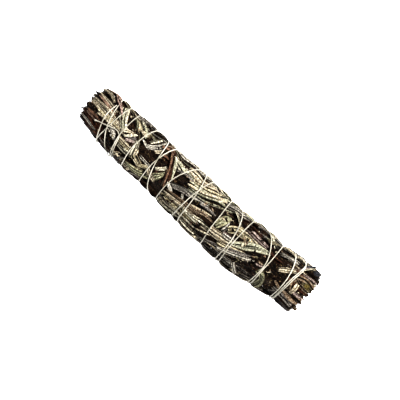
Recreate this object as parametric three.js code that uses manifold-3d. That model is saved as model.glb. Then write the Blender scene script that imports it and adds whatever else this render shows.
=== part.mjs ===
// A bundle of dried yerba santa: leaves and stems laid lengthwise, pressed round
// a core of stems and bound with one cotton string that winds to the far end and
// back. It lies on its side. Millimetres, +Z up, X along the bundle.
import * as THREE from "three";
import { mergeVertices } from "three/addons/utils/BufferGeometryUtils.js";
import Module from "manifold-3d";

const wasm = await Module();
wasm.setup();

// Driving dimensions. "station" is the distance from the left end along the
// bundle, "angle" is in degrees round it: 0 on top, 90 towards +Y, 180 underneath.
const bundleLength = 200;
const referenceRadius = 17.5;
const flatDepth = 1.2; // how far the underside is pressed flat where it lies
const gap = 0.3; // between pieces that touch
const stringRadius = 0.5;
const stringDepth = 0.75; // centre of the string below the bundle's outside
const leafThickness = 1.1;
const restThickness = 2.6; // of the three leaves that the bundle lies on
const coreDepth = 7; // below this depth the section shrinks in proportion
const degree = Math.PI / 180;

// Outer radius of the bundle and sideways place of its middle, by station.
const radiusAt = smoothThrough([
  [0, 12.6], [12, 15.2], [28, 16.9], [52, 17.4], [70, 17.0], [85, 17.9],
  [108, 18.6], [126, 18.1], [146, 18.9], [165, 17.7], [177, 17.5], [185, 17.2],
  [200, 16.6],
]);
const middleAt = smoothThrough([
  [0, 2.4], [12, 2.2], [25, 1.3], [40, 0.6], [60, 0.5], [75, 0.0], [98, -0.6],
  [115, -1.5], [130, -2.0], [143, -1.5], [155, -0.4], [166, 0.6], [178, 2.5],
  [190, 3.1], [200, 2.9],
]);
const taperEnd = 30; // left of this station the bundle lifts off what it lies on

// Hermite interpolation through [x, y] pairs, with the slope of the neighbours.
function smoothThrough(pairs) {
  const slope = (i) => {
    const a = pairs[Math.max(i - 1, 0)];
    const b = pairs[Math.min(i + 1, pairs.length - 1)];
    return (b[1] - a[1]) / (b[0] - a[0]);
  };
  return (x) => {
    let i = 0;
    while (i < pairs.length - 2 && x > pairs[i + 1][0]) i++;
    const [x0, y0] = pairs[i];
    const [x1, y1] = pairs[i + 1];
    const width = x1 - x0;
    const t = THREE.MathUtils.clamp((x - x0) / width, 0, 1);
    const u = 1 - t;
    return (
      y0 * u * u * (1 + 2 * t) + y1 * t * t * (1 + 2 * u) +
      width * t * u * (slope(i) * u - slope(i + 1) * t)
    );
  };
}

// The point of the bundle at a station, an angle and a depth below its outside.
function bundlePoint(station, angle, depth) {
  const radius = radiusAt(station);
  const inner = (radius - coreDepth) / (referenceRadius - coreDepth);
  const r = depth < coreDepth ? radius - depth : (referenceRadius - depth) * inner;
  const down = -Math.cos(angle * degree);
  const chord = 1 - flatDepth / radius;
  const pressed = down > chord ? chord / down : 1;
  return new THREE.Vector3(
    station - bundleLength / 2,
    middleAt(station) + r * pressed * Math.sin(angle * degree),
    radiusAt(Math.max(station, taperEnd)) - flatDepth - r * pressed * down,
  );
}

const bundle = new THREE.Group();

function addPiece(name, geometry, material) {
  const mesh = new THREE.Mesh(geometry, material);
  mesh.name = name;
  bundle.add(mesh);
  return mesh;
}

const colour = (hex, roughness) =>
  new THREE.MeshStandardMaterial({ color: hex, roughness, metalness: 0 });
const materials = {
  pale: colour("#b9ad88", 0.9),
  dark: colour("#2f241b", 0.55),
  brown: colour("#7d5a45", 0.7),
  stem: colour("#8a6a55", 0.75),
  string: colour("#e9dfc6", 0.95),
};

// ---- Leaves -----------------------------------------------------------------
// A leaf is a long blade laid on the bundle. It runs from one station and angle
// to another, bowed sideways in between, and its blade narrows to a point or is
// cut off square at an end. The list is in the order that they are laid.
const leaf = (face, from, to, width, more = {}) => ({ face, from, to, width, ...more });

// The dark, resin-coated upper faces that show between the pale blades on top.
const topUnderLeaves = [
  leaf("dark", [1, -34], [50, -12], 12, { cutBase: true }),
  leaf("dark", [12, 44], [66, 38], 9),
  leaf("dark", [24, 10], [80, 2], 11),
  leaf("dark", [52, -16], [108, -10], 11),
  leaf("dark", [76, 22], [136, 20], 12),
  leaf("dark", [104, -44], [166, -30], 13),
  leaf("dark", [126, 44], [184, 34], 12),
  leaf("dark", [146, -2], [196, -8], 13, { cutTip: true }),
  leaf("dark", [140, -68], [194, -52], 11, { cutTip: true }),
];

// The blades that lie outermost on top.
const topLeaves = [
  leaf("brown", [3, 44], [24, 30], 6, { cutBase: true }),
  leaf("brown", [0, -24], [26, -46], 7, { cutBase: true }),
  leaf("pale", [2, 13], [33, 3], 7, { cutBase: true }),
  leaf("pale", [16, 74], [46, 62], 7),
  leaf("pale", [22, 62], [32, 0], 6),
  leaf("pale", [22, -15], [39, -38], 6),
  leaf("pale", [50, 17], [62, 68], 6),
  leaf("pale", [46, -38], [77, -4], 5, { bow: -14 }),
  leaf("brown", [60, 68], [79, -30], 4.5),
  leaf("pale", [66, 72], [106, 78], 6),
  leaf("pale", [80, -34], [138, -24], 8),
  leaf("pale", [79, -62], [125, -72], 7),
  leaf("pale", [86, 28], [120, 72], 6.5),
  leaf("pale", [88, 4], [136, 54], 7, { bow: 4 }),
  leaf("pale", [119, -10], [127, 38], 7),
  leaf("pale", [118, -74], [152, -50], 6),
  leaf("pale", [130, -22], [164, 22], 9),
  leaf("brown", [134, 30], [162, 34], 5),
  leaf("pale", [132, -50], [158, -12], 5),
  leaf("pale", [146, 64], [186, 54], 7),
  leaf("pale", [163, -28], [172, -72], 8),
  leaf("pale", [172, 4], [187, 40], 6),
  leaf("brown", [182, 42], [200, 38], 6, { cutTip: true }),
  leaf("brown", [181, 4], [199, -4], 6, { cutTip: true }),
  leaf("brown", [180, -34], [197, -28], 6, { cutTip: true }),
];

// Two courses round the sides and the underside, each leaf turned a little.
const sideLeaves = [];
const sideWidth = 14.5;
const sideCourses = [
  { firstAngle: 100, across: 38, count: 5, from: 4, run: 102, face: "dark" },
  { firstAngle: 106, across: 38, count: 5, from: 94, run: 102, face: "pale" },
];
for (const course of sideCourses)
  for (let i = 0; i < course.count; i++) {
    const angle = course.firstAngle + course.across * i;
    const stagger = 4 * ((i * 2) % 3) - 4;
    const start = Math.max(course.from + stagger, 0.5);
    const end = Math.min(course.from + course.run + stagger, 198.5);
    sideLeaves.push(
      leaf(course.face, [start, angle - 5], [end, angle + 5], sideWidth,
        { cutBase: start < 12, cutTip: end > 188 }),
    );
  }

// The three that carry the bundle lie outermost, end by end along the underside.
const restLeaves = [
  leaf("pale", [24, 176], [84, 171], 9.5, { rests: true }),
  leaf("dark", [75, 189], [137, 186], 9.5, { rests: true }),
  leaf("pale", [128, 171], [183, 178], 9.5, { rests: true }),
];

// Broad leaves folded round the stems, by turns nearer to one end and the other.
const innerCount = 5;
const innerRun = 146;
const innerLeaves = [];
for (let i = 0; i < innerCount; i++) {
  const angle = (360 / innerCount) * i + 20;
  const start = i % 2 ? 48 - i : 5 + i;
  innerLeaves.push(
    leaf("dark", [start, angle], [start + innerRun, angle], 8.6,
      { inner: true, cutBase: true, cutTip: true }),
  );
}
const innerDepth = 9.6;
const innerThickness = 1.7;

for (const blade of topUnderLeaves) blade.lowest = 1;
const outerLeaves = [...topUnderLeaves, ...sideLeaves, ...topLeaves, ...restLeaves];
for (const blade of outerLeaves) blade.thickness = blade.rests ? restThickness : leafThickness;
for (const blade of innerLeaves) {
  blade.thickness = innerThickness;
  blade.depth = innerDepth;
}

// Share of the full width at t, 0 at the base and 1 at the tip.
function outline(blade, t) {
  const pointed = 0.14;
  const cut = 0.8;
  const ease = (x) => THREE.MathUtils.smoothstep(x, 0, 1);
  const base = blade.cutBase ? cut : pointed;
  const tip = blade.cutTip ? cut : pointed;
  return (
    THREE.MathUtils.lerp(base, 1, ease(t / 0.4)) *
    THREE.MathUtils.lerp(tip, 1, ease((1 - t) / 0.5))
  );
}

// Station and angle of a point of the blade: t along it, side from -1 to 1 across.
function onBlade(blade, t, side, margin = 0) {
  const [s0, a0] = blade.from;
  const [s1, a1] = blade.to;
  const bow = blade.bow ?? 0;
  const angle = a0 + (a1 - a0) * t + bow * Math.sin(Math.PI * t);
  const turn = a1 - a0 + bow * Math.PI * Math.cos(Math.PI * t);
  const radius = blade.inner ? referenceRadius - innerDepth : referenceRadius;
  const run = new THREE.Vector2(s1 - s0, turn * degree * radius).normalize();
  const off = side * ((blade.width / 2) * outline(blade, t) + margin);
  return [s0 + (s1 - s0) * t - off * run.y, angle + (off * run.x) / radius / degree];
}

// Blades that cross one another lie in different layers, layer 0 outermost. The
// last laid is placed first, and each takes the outermost layer still free.
const footprintStep = 2.2;
const touching = 3; // footprint points nearer than this mean that blades cross
function footprint(blade) {
  const points = [];
  const rows = Math.ceil((blade.to[0] - blade.from[0]) / footprintStep);
  const columns = Math.ceil(blade.width / footprintStep);
  for (let i = 0; i <= rows; i++)
    for (let j = 0; j <= columns; j++) {
      const [s, a] = onBlade(blade, i / rows, (2 * j) / columns - 1);
      points.push(new THREE.Vector3(a * degree * referenceRadius, s, 0));
    }
  return points;
}
const aroundLength = 360 * degree * referenceRadius;
function cross(a, b) {
  return a.some((p) =>
    b.some((q) => {
      const round = Math.abs(p.x - q.x) % aroundLength;
      return Math.hypot(Math.min(round, aroundLength - round), p.y - q.y) < touching;
    }),
  );
}
const openDepth = stringDepth + stringRadius + gap;
const layerDepth = leafThickness + gap;
const placed = [];
for (const blade of [...outerLeaves].reverse()) {
  const print = footprint(blade);
  const taken = placed.filter((other) => cross(print, other.print)).map((o) => o.layer);
  let layer = blade.lowest ?? 0;
  while (taken.includes(layer)) layer++;
  blade.depth = blade.rests ? 0 : openDepth + layer * layerDepth;
  placed.push({ print, layer });
}

// A blade as one solid: a divided box bent onto the bundle, thinner at its sides.
function bladeGeometry(blade) {
  const long = blade.to[0] - blade.from[0];
  const rows = THREE.MathUtils.clamp(Math.round(long / 7), 4, 9);
  const box = new THREE.BoxGeometry(1, 1, 1, rows, blade.inner ? 2 : 3, 1);
  const place = box.getAttribute("position");
  for (let i = 0; i < place.count; i++) {
    const side = place.getY(i) * 2;
    const outside = place.getZ(i) > 0;
    const [station, angle] = onBlade(blade, place.getX(i) + 0.5, side);
    const thin = blade.thickness * 0.3 * side * side;
    const top = blade.rests ? 0 : thin;
    const depth = blade.depth + (outside ? top : blade.thickness - thin);
    place.setXYZ(i, ...bundlePoint(station, angle, depth).toArray());
  }
  return box;
}

// ---- Stems ------------------------------------------------------------------
// Seven stems make the core, one in the middle and six round it, slightly bent.
const stemRadius = 1.75;
const stemRing = 3.95; // how far the six outer stems stand from the middle one
const stemSides = 7;

function stemGeometry(fromStation, toStation, ring, angle, wander) {
  const tube = new THREE.CylinderGeometry(1, 1, 1, stemSides, 6, false);
  const place = tube.getAttribute("position");
  for (let i = 0; i < place.count; i++) {
    const t = place.getY(i) + 0.5;
    const turn = (angle + wander * Math.sin(Math.PI * t)) * degree;
    const y = ring * Math.sin(turn) + stemRadius * place.getX(i);
    const z = ring * Math.cos(turn) + stemRadius * place.getZ(i);
    const station = THREE.MathUtils.lerp(toStation, fromStation, t);
    const depth = referenceRadius - Math.hypot(y, z);
    place.setXYZ(i, ...bundlePoint(station, Math.atan2(y, z) / degree, depth).toArray());
  }
  return tube;
}

// ---- String -----------------------------------------------------------------
// The route starts at the loose end on top, runs along the bundle and turns back
// underneath. Then it winds out and back. Each turn is four stations, at angles
// of -90, 0, 90 and 180 degrees, and a few bends lie between: turn, angle, station.
const looseEnd = [
  [-33, 12], [-24, 15.5], [-15.5, 20], [-8.5, 25], [-6.5, 28.8], [-13, 31.8],
  [-30, 33.4], [-60, 35.6], [-90, 37], [-112, 34], [-114, 27],
];
const turns = [
  [22, 22.2, 26, 30], [35.3, 31.2, 33, 36.5], [45.5, 43.6, 49.5, 58],
  [61.8, 61.2, 67.5, 72], [77.8, 78.4, 89, 93], [94.2, 95.5, 101.5, 108.5],
  [121, 119.2, 119.2, 132], [138.6, 137.6, 140.3, 155], [164.6, 165, 165.8, 176],
  [182.6, 183.6, 184, 188.2], [183.8, 184.8, 177.5, 181], [181.2, 181.3, 173, 166.3],
  [163.3, 163.6, 150.5, 144], [136.6, 135.4, 127.5, 122], [101.2, 97.7, 92.7, 84.2],
  [71.8, 62.3, 58.2, 47], [33, 19.6, 16.6, 17.6],
];
const bends = [[9, 45, 185.2], [10, 50, 185.6], [12, 45, 157.5]];
const tuckedEnd = [[-90, 22.3], [0, 15.5], [38, 16.3]];

function stringRoute() {
  const wound = bends.map(([n, angle, station]) => [360 * n + angle, station]);
  turns.forEach((stations, n) =>
    stations.forEach((station, k) => wound.push([360 * n - 90 + 90 * k, station])),
  );
  for (const [angle, station] of tuckedEnd)
    wound.push([360 * turns.length + angle, station]);
  wound.sort((a, b) => a[0] - b[0]);
  return [...looseEnd, ...wound];
}

const samplesPerTurn = 24;
const stringSides = 6;
const fullLift = 1.7; // strands nearer than this, side by side, ride fully clear
const crossingReach = 3.8; // and the upper strand starts to rise from here
const looseUntil = 28.5; // the loose end lies over the turns up to this station

// Nearest place to p on the stretch from a to b, on the unrolled outside.
function nearestOn(a, b, p) {
  const dx = p.x - a.x;
  const x = dx - aroundLength * Math.round(dx / aroundLength);
  const y = p.y - a.y;
  const bx = b.x - a.x;
  const by = b.y - a.y;
  const t = THREE.MathUtils.clamp((x * bx + y * by) / (bx * bx + by * by), 0, 1);
  return { t, apart: Math.hypot(x - t * bx, y - t * by) };
}

// The string's middle line, lifted over whatever strand it crosses.
function stringCurve() {
  const route = new THREE.CatmullRomCurve3(
    stringRoute().map(([angle, station]) =>
      new THREE.Vector3(angle * degree * referenceRadius, station, 0)),
    false,
    "centripetal",
  );
  route.arcLengthDivisions = 5000;
  const count = Math.round((route.getLength() / aroundLength) * samplesPerTurn);
  const flat = route.getSpacedPoints(count);
  const looseCount = flat.findIndex((p) => p.y > looseUntil);
  const laid = flat.map((_, i) => i);
  laid.push(...laid.splice(0, looseCount).reverse());
  const lift = flat.map(() => 0);
  laid.forEach((i, when) => {
    for (const j of laid.slice(0, when)) {
      if (Math.abs(i - j) < 6 || j === count) continue;
      const near = nearestOn(flat[j], flat[j + 1], flat[i]);
      if (near.apart >= crossingReach) continue;
      const below = THREE.MathUtils.lerp(lift[j], lift[j + 1], near.t);
      const rise = 1 - THREE.MathUtils.smoothstep(near.apart, fullLift, crossingReach);
      lift[i] = Math.max(lift[i], (below + 2 * stringRadius + gap) * rise);
    }
  });
  const curve = new THREE.CatmullRomCurve3(
    flat.map((p, i) =>
      bundlePoint(p.y, p.x / referenceRadius / degree, stringDepth - lift[i])),
    false,
    "centripetal",
  );
  curve.arcLengthDivisions = 5000;
  return curve;
}
const stringLine = stringCurve();

function stringGeometry(radius) {
  const section = new THREE.Shape();
  section.absarc(0, 0, radius, 0, 2 * Math.PI);
  return new THREE.ExtrudeGeometry(section, {
    steps: stringLine.points.length - 1,
    curveSegments: stringSides / 2,
    bevelEnabled: false,
    extrudePath: stringLine,
  });
}

// ---- Assembly ---------------------------------------------------------------
// A geometry as a manifold solid, and back.
function toSolid(geometry) {
  const bare = new THREE.BufferGeometry();
  bare.setAttribute("position", geometry.getAttribute("position"));
  bare.setIndex(geometry.getIndex());
  const merged = mergeVertices(bare, 1e-4);
  return new wasm.Manifold(new wasm.Mesh({
    numProp: 3,
    vertProperties: new Float32Array(merged.getAttribute("position").array),
    triVerts: new Uint32Array(merged.getIndex().array),
  }));
}
function toGeometry(solid) {
  const mesh = solid.getMesh();
  const geometry = new THREE.BufferGeometry();
  geometry.setAttribute("position", new THREE.BufferAttribute(mesh.vertProperties, 3));
  geometry.setIndex(new THREE.BufferAttribute(mesh.triVerts, 1));
  geometry.computeVertexNormals();
  return geometry;
}

const numbered = (kind, i) => `${kind}_${String(i + 1).padStart(2, "0")}`;

addPiece("binding_string", stringGeometry(stringRadius), materials.string.clone());

// The leaves that carry the bundle are grooved where the string passes under them.
const grooves = toSolid(stringGeometry(stringRadius + gap));
[...outerLeaves, ...innerLeaves].forEach((blade, i) => {
  const whole = bladeGeometry(blade);
  const geometry = blade.rests ? toGeometry(toSolid(whole).subtract(grooves)) : whole;
  addPiece(numbered("leaf", i), geometry, materials[blade.face].clone());
});

const stems = [
  [4, 196, 0, 0], [1.5, 197, 1, 0], [6, 192, 1, 60], [3, 198, 1, 120],
  [5, 194, 1, 180], [2, 196, 1, 240], [7, 193, 1, 300],
];
stems.forEach(([from, to, ring, angle], i) => {
  addPiece(numbered("stem", i), stemGeometry(from, to, ring * stemRing, angle, 25),
    materials.stem.clone());
});

// The middle of the bundle's underside goes to the origin.
const size = new THREE.Box3().setFromObject(bundle);
const middle = size.getCenter(new THREE.Vector3());
bundle.position.set(-middle.x, -middle.y, -size.min.z);

export default bundle;
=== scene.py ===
import math

import bpy
import numpy as np
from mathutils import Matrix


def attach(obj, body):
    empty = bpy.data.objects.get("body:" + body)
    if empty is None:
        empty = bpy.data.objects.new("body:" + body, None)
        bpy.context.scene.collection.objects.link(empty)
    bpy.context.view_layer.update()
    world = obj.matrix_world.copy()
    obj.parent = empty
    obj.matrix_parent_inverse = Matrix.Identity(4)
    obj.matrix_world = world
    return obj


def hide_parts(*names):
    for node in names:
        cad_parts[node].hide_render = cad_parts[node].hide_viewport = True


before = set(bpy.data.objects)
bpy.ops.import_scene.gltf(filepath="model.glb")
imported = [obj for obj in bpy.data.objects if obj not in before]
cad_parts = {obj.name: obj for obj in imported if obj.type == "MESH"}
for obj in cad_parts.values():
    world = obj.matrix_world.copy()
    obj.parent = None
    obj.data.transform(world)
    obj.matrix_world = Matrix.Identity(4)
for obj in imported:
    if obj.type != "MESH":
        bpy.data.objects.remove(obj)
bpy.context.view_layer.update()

# ---- Camera and studio --------------------------------------------------------------
# The bundle lies on a pale table and is seen from straight above through a long lens,
# running from the upper left to the lower right. A soft window lights it from the +Y
# side, and a large faint lamp fills the other side.
middle_x, middle_y = 0.27, 0.81  # mm, the bundle's own zero in the frame
aim_x, aim_y = middle_x + 1.60, middle_y + 2.15  # mm, straight below the camera
camera_height = 2.0695  # m
turned = math.radians(42.2)

camera_data = bpy.data.cameras.new("camera")
camera_data.sensor_width = 36
camera_data.lens = 270
camera_data.clip_end = 10
camera = bpy.data.objects.new("camera", camera_data)
camera.location = (aim_x / 1000, aim_y / 1000, camera_height)
camera.rotation_euler = (0, 0, turned)
bpy.context.collection.objects.link(camera)
bpy.context.scene.camera = camera
bpy.context.scene.view_settings.view_transform = "Standard"
bpy.context.scene.view_settings.look = "High Contrast"


def soft_light(name, place, watts, size, tint):
    """A square lamp, its place and size in metres, tilted and turned to face zero."""
    data = bpy.data.lights.new(name, "AREA")
    data.energy = watts
    data.size = size
    data.color = tint
    lamp = bpy.data.objects.new(name, data)
    lamp.location = place
    x, y, z = place
    lamp.rotation_euler = (math.atan2(math.hypot(x, y), z), 0, math.atan2(y, x) + math.pi / 2)
    bpy.context.collection.objects.link(lamp)


soft_light("window", (0.2, 0.36, 0.82), watts=25, size=0.2, tint=(1.0, 0.98, 0.95))
soft_light("bounce", (-0.35, -0.45, 0.8), watts=6, size=0.6, tint=(0.96, 0.98, 1.0))

world = bpy.data.worlds.new("studio")
world.use_nodes = True
world.node_tree.nodes["Background"].inputs["Color"].default_value = (1, 1, 1, 1)
world.node_tree.nodes["Background"].inputs["Strength"].default_value = 0.14
bpy.context.scene.world = world

faint_gloss = 0.06  # dry leaf, wood, cotton and the table hardly mirror the light


def paint(hexcode):
    """A colour written as sRGB hex, as linear red, green, blue and alpha."""
    channels = [int(hexcode[i : i + 2], 16) / 255 for i in (1, 3, 5)]
    linear = [c / 12.92 if c <= 0.04045 else ((c + 0.055) / 1.055) ** 2.4 for c in channels]
    return (*linear, 1.0)


def new_material(name, base, roughness):
    """A material, its nodes and its Principled shader, with the plain sockets set."""
    material = bpy.data.materials.new(name)
    material.use_nodes = True
    shader = material.node_tree.nodes["Principled BSDF"]
    shader.inputs["Base Color"].default_value = paint(base)
    shader.inputs["Roughness"].default_value = roughness
    shader.inputs["Specular IOR Level"].default_value = faint_gloss
    return material, material.node_tree, shader


def node(tree, kind, inputs, stops=(), **settings):
    """Adds a node with its settings; each input takes a value or another's output.

    stops are a colour ramp's two ends, as places from 0 to 1 with sRGB hex colours.
    """
    made = tree.nodes.new(kind)
    for key, value in settings.items():
        setattr(made, key, value)
    for end, (place, hexcode) in enumerate(stops):
        made.color_ramp.elements[end].position = place
        made.color_ramp.elements[end].color = paint(hexcode)
    for key, value in inputs.items():
        if isinstance(value, bpy.types.NodeSocket):
            tree.links.new(value, made.inputs[key])
        else:
            made.inputs[key].default_value = value
    return made


# Matt white laminate. It glows a little, so it stays an even white to the eye and
# shows only the soft shadow under the bundle.
table_material, _, shader = new_material("lit_white_table", "#ffffff", 0.9)
shader.inputs["Emission Color"].default_value = (1, 1, 1, 1)
shader.inputs["Emission Strength"].default_value = 0.7
table_gap = 0.0002  # m, so that the leaves on it don't cut into it
bpy.ops.mesh.primitive_plane_add(size=6, location=(0, 0, -table_gap))
table = bpy.context.object
table.name = "table"
table.data.materials.append(table_material)

# ---- The bundle's form --------------------------------------------------------------
# Every leaf, stem and turn of string follows the same round bundle, pressed flat
# underneath. A place on it has a station in mm from the left end, an angle, 0 on top
# and a quarter turn towards +Y, and a distance from the bundle's middle line.
bundle_length = 200.0
pressed_flat = 1.2  # mm
lifted_until = 30.0  # left of this station the bundle's middle stays level
reference_radius = 17.5  # mm, at which angles are unrolled to millimetres


def smooth_through(pairs):
    """Cubic pieces through the pairs, with each slope taken from the two neighbours."""
    x = np.array([p[0] for p in pairs], float)
    y = np.array([p[1] for p in pairs], float)
    before = np.maximum(np.arange(len(x)) - 1, 0)
    after = np.minimum(np.arange(len(x)) + 1, len(x) - 1)
    slope = (y[after] - y[before]) / (x[after] - x[before])

    def at(where):
        """The curve's value at any places, each from the piece between its two pairs."""
        where = np.asarray(where, float)
        i = np.clip(np.searchsorted(x, where, side="left") - 1, 0, len(x) - 2)
        width = x[i + 1] - x[i]
        t = np.clip((where - x[i]) / width, 0, 1)
        u = 1 - t
        curve = y[i] * u * u * (1 + 2 * t) + y[i + 1] * t * t * (1 + 2 * u)
        return curve + width * t * u * (slope[i] * u - slope[i + 1] * t)

    return at


# The bundle's radius and how far its middle bends towards +Y, in mm, by station.
radius_at = smooth_through([
    (0, 12.6), (12, 15.2), (28, 16.9), (52, 17.4), (70, 17.0), (85, 17.9),
    (108, 18.6), (126, 18.1), (146, 18.9), (165, 17.7), (177, 17.5), (185, 17.2),
    (200, 16.6),
])
middle_at = smooth_through([
    (0, 2.4), (12, 2.2), (25, 1.3), (40, 0.6), (60, 0.5), (75, 0.0), (98, -0.6),
    (115, -1.5), (130, -2.0), (143, -1.5), (155, -0.4), (166, 0.6), (178, 2.5),
    (190, 3.1), (200, 2.9),
])


def bundle_point(station, angle, distance):
    """Millimetres in the frame: out from the middle line by the distance, at the angle.

    Where a full circle would reach below the flat underside, distances shrink in the
    share that brings the outline up to it.
    """
    station, angle, distance = np.broadcast_arrays(station, angle, distance)
    radius = radius_at(station)
    down = -np.cos(angle)
    chord = 1 - pressed_flat / radius
    pressed = np.where(down > chord, chord / np.maximum(down, 0.1), 1.0)
    x = station - bundle_length / 2 + middle_x
    y = middle_at(station) + distance * pressed * np.sin(angle) + middle_y
    level = radius_at(np.maximum(station, lifted_until)) - pressed_flat
    z = level - distance * pressed * down
    return np.stack([x, y, z], axis=-1)


steepest = 0.985  # sine of 80 degrees, where a place past the edge is put


def seen_at(station, across):
    """The angle of a place on top that lies this many mm across from the row's line.

    Its sine is the distance from the bundle's middle line over the radius there.
    """
    side = (across - middle_at(station)) / radius_at(station)
    return np.arcsin(np.clip(side, -steepest, steepest))


# ---- Binding string: its route ------------------------------------------------------
# One cotton string is wound to the right end and back, so its turns cross. Its loose
# end lies on top near the left end, and its other end is tucked under a turn. The
# route comes first, because the leaves are squeezed under it.
string_radius = 0.35  # mm
string_depth = -0.05  # mm that its middle lies below the outline, so just above it
string_step = 1.2  # mm between the places worked out along the route
loose_end = [  # (angle in degrees, station) from its tip to the first turn
    (-33, 12), (-24, 15.5), (-15.5, 20), (-8.5, 25), (-6.5, 28.8), (-13, 31.8),
    (-30, 33.4), (-60, 35.6), (-90, 37), (-112, 34), (-114, 27),
]
turns = [  # each turn's stations at -90, 0, 90 and 180 degrees
    (22, 22.2, 26, 30), (35.3, 31.2, 33, 36.5), (45.5, 43.6, 49.5, 58),
    (61.8, 61.2, 67.5, 72), (77.8, 78.4, 89, 93), (94.2, 95.5, 101.5, 108.5),
    (121, 119.2, 119.2, 132), (138.6, 137.6, 140.3, 155), (164.6, 165, 165.8, 176),
    (182.6, 183.6, 184, 188.2), (183.8, 184.8, 177.5, 181), (181.2, 181.3, 173, 166.3),
    (163.3, 163.6, 150.5, 144), (136.6, 135.4, 127.5, 122), (101.2, 97.7, 92.7, 84.2),
    (71.8, 62.3, 58.2, 47), (33, 19.6, 16.6, 17.6),
]
bends = [(9, 45, 185.2), (10, 50, 185.6), (12, 45, 157.5)]  # (turn, angle, station)
tucked_end = [(-90, 22.3), (0, 15.5), (38, 16.3)]  # after the last turn
wound = [(360 * n + angle, s) for n, angle, s in bends]
for n, stations in enumerate(turns):
    wound += [(360 * n - 90 + 90 * k, s) for k, s in enumerate(stations)]
route = loose_end + sorted(wound)
route += [(360 * len(turns) + angle, s) for angle, s in tucked_end]


def through_points(points, per_span):
    """A centripetal Catmull-Rom curve through the points, evenly split in each span.

    Straight lines through neighbouring points are blended three times over, by knots
    that are the square root of each step apart.
    """
    p = np.asarray(points, float)
    p = np.vstack([2 * p[0] - p[1], p, 2 * p[-1] - p[-2]])
    knots = np.concatenate([[0], np.cumsum(np.linalg.norm(np.diff(p, axis=0), axis=1) ** 0.5)])
    parts = []
    for i in range(1, len(p) - 2):
        t = np.linspace(knots[i], knots[i + 1], per_span, endpoint=False)[:, None]
        k = knots[i - 1 : i + 3]
        blend = p[i - 1 : i + 3]
        for order in (1, 2):
            blend = [(k[j + order] - t) / (k[j + order] - k[j]) * blend[j]
                     + (t - k[j]) / (k[j + order] - k[j]) * blend[j + 1]
                     for j in range(4 - order)]
        parts.append((k[2] - t) / (k[2] - k[1]) * blend[0] + (t - k[1]) / (k[2] - k[1]) * blend[1])
    return np.vstack([*parts, p[-2][None]])


def evenly(line, step):
    """The same line with its points a step apart, read off its running length."""
    run = np.concatenate([[0], np.cumsum(np.linalg.norm(np.diff(line, axis=0), axis=1))])
    at = np.linspace(0, run[-1], max(int(round(run[-1] / step)) + 1, 2))
    return np.stack([np.interp(at, run, line[:, k]) for k in range(line.shape[1])], axis=1)


unrolled = [(math.radians(a) * reference_radius, s) for a, s in route]
string_flat = evenly(through_points(unrolled, 24), string_step)
string_angle = string_flat[:, 0] / reference_radius
string_station = string_flat[:, 1]

# ---- How the leaves pile up ---------------------------------------------------------
# The maker lays leaf on leaf round the stems. A map of the bundle's outside keeps the
# height of the pile so far, so each leaf is laid on those already there.
map_step = 0.5  # mm along
map_from = -6.0  # the map starts and ends this far outside the bundle
stations = np.arange(map_from, bundle_length - map_from + 0.01, map_step)
around = 224  # places round it, about 0.5 mm apart
pile = np.zeros((len(stations), around))


def map_read(field, station, angle):
    """The map's value at a place, mixed from its four nearest cells."""
    i = np.clip((station - map_from) / map_step, 0, len(stations) - 1.001)
    j = (angle / (2 * np.pi) % 1.0) * around
    i0, j0 = np.floor(i).astype(int), np.floor(j).astype(int)
    u, v = i - i0, j - j0
    j0, j1 = j0 % around, (j0 + 1) % around
    low = field[i0, j0] * (1 - v) + field[i0, j1] * v
    high = field[i0 + 1, j0] * (1 - v) + field[i0 + 1, j1] * v
    return low * (1 - u) + high * u


def blur(field, sigma, axis, wrap=False):
    """The field averaged along one axis under a bell curve, sigma samples wide."""
    reach = max(int(sigma * 3), 1)
    weights = np.exp(-0.5 * (np.arange(-reach, reach + 1) / sigma) ** 2)
    weights = weights / weights.sum()
    pad = [(0, 0)] * field.ndim
    pad[axis] = (reach, reach)
    padded = np.pad(field, pad, mode="wrap" if wrap else "edge")
    total = np.zeros_like(field)
    for k, weight in enumerate(weights):
        cut = [slice(None)] * field.ndim
        cut[axis] = slice(k, k + field.shape[axis])
        total += weight * padded[tuple(cut)]
    return total


def widened(field, steps, axis):
    """The highest value within so many steps along one axis."""
    best = field
    for _ in range(steps):
        pad = [(0, 0)] * field.ndim
        pad[axis] = (1, 1)
        padded = np.pad(best, pad, mode="edge")
        before, after = [slice(None)] * field.ndim, [slice(None)] * field.ndim
        before[axis], after[axis] = slice(0, -2), slice(2, None)
        best = np.maximum(best, np.maximum(padded[tuple(before)], padded[tuple(after)]))
    return best


def finer(rows, times):
    """A grid with so many times the rows, evenly between the old ones."""
    new = np.linspace(0, len(rows) - 1, (len(rows) - 1) * times + 1)
    i = np.minimum(new.astype(int), len(rows) - 2)
    t = (new - i).reshape(-1, *([1] * (rows.ndim - 1)))
    return rows[i] * (1 - t) + rows[i + 1] * t


# ---- Leaves: their cross-sections ---------------------------------------------------
# A dried leaf lies open, shrunk into pleats, folded along its midrib, with both margins
# rolled in, or scrolled up. Each section gives the blade's middle surface for q from -1
# to 1 between its margins: x across, for a half width of 1, and y up in mm.
blade_thickness = 0.36  # mm


def open_section(q, half):
    """A shallow arch with margins that turn down, and a bell-shaped midrib on it."""
    rib = 0.22 * np.exp(-((q / 0.09) ** 2))
    return q, 0.1 + 0.25 * half * (1 - np.abs(q) ** 2.5) + rib


def pleated_section(q, half):
    """Nearly flat, because its pleats are added along the leaf."""
    return q, 0.1 + 0.12 * half * (1 - q**4)


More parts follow.
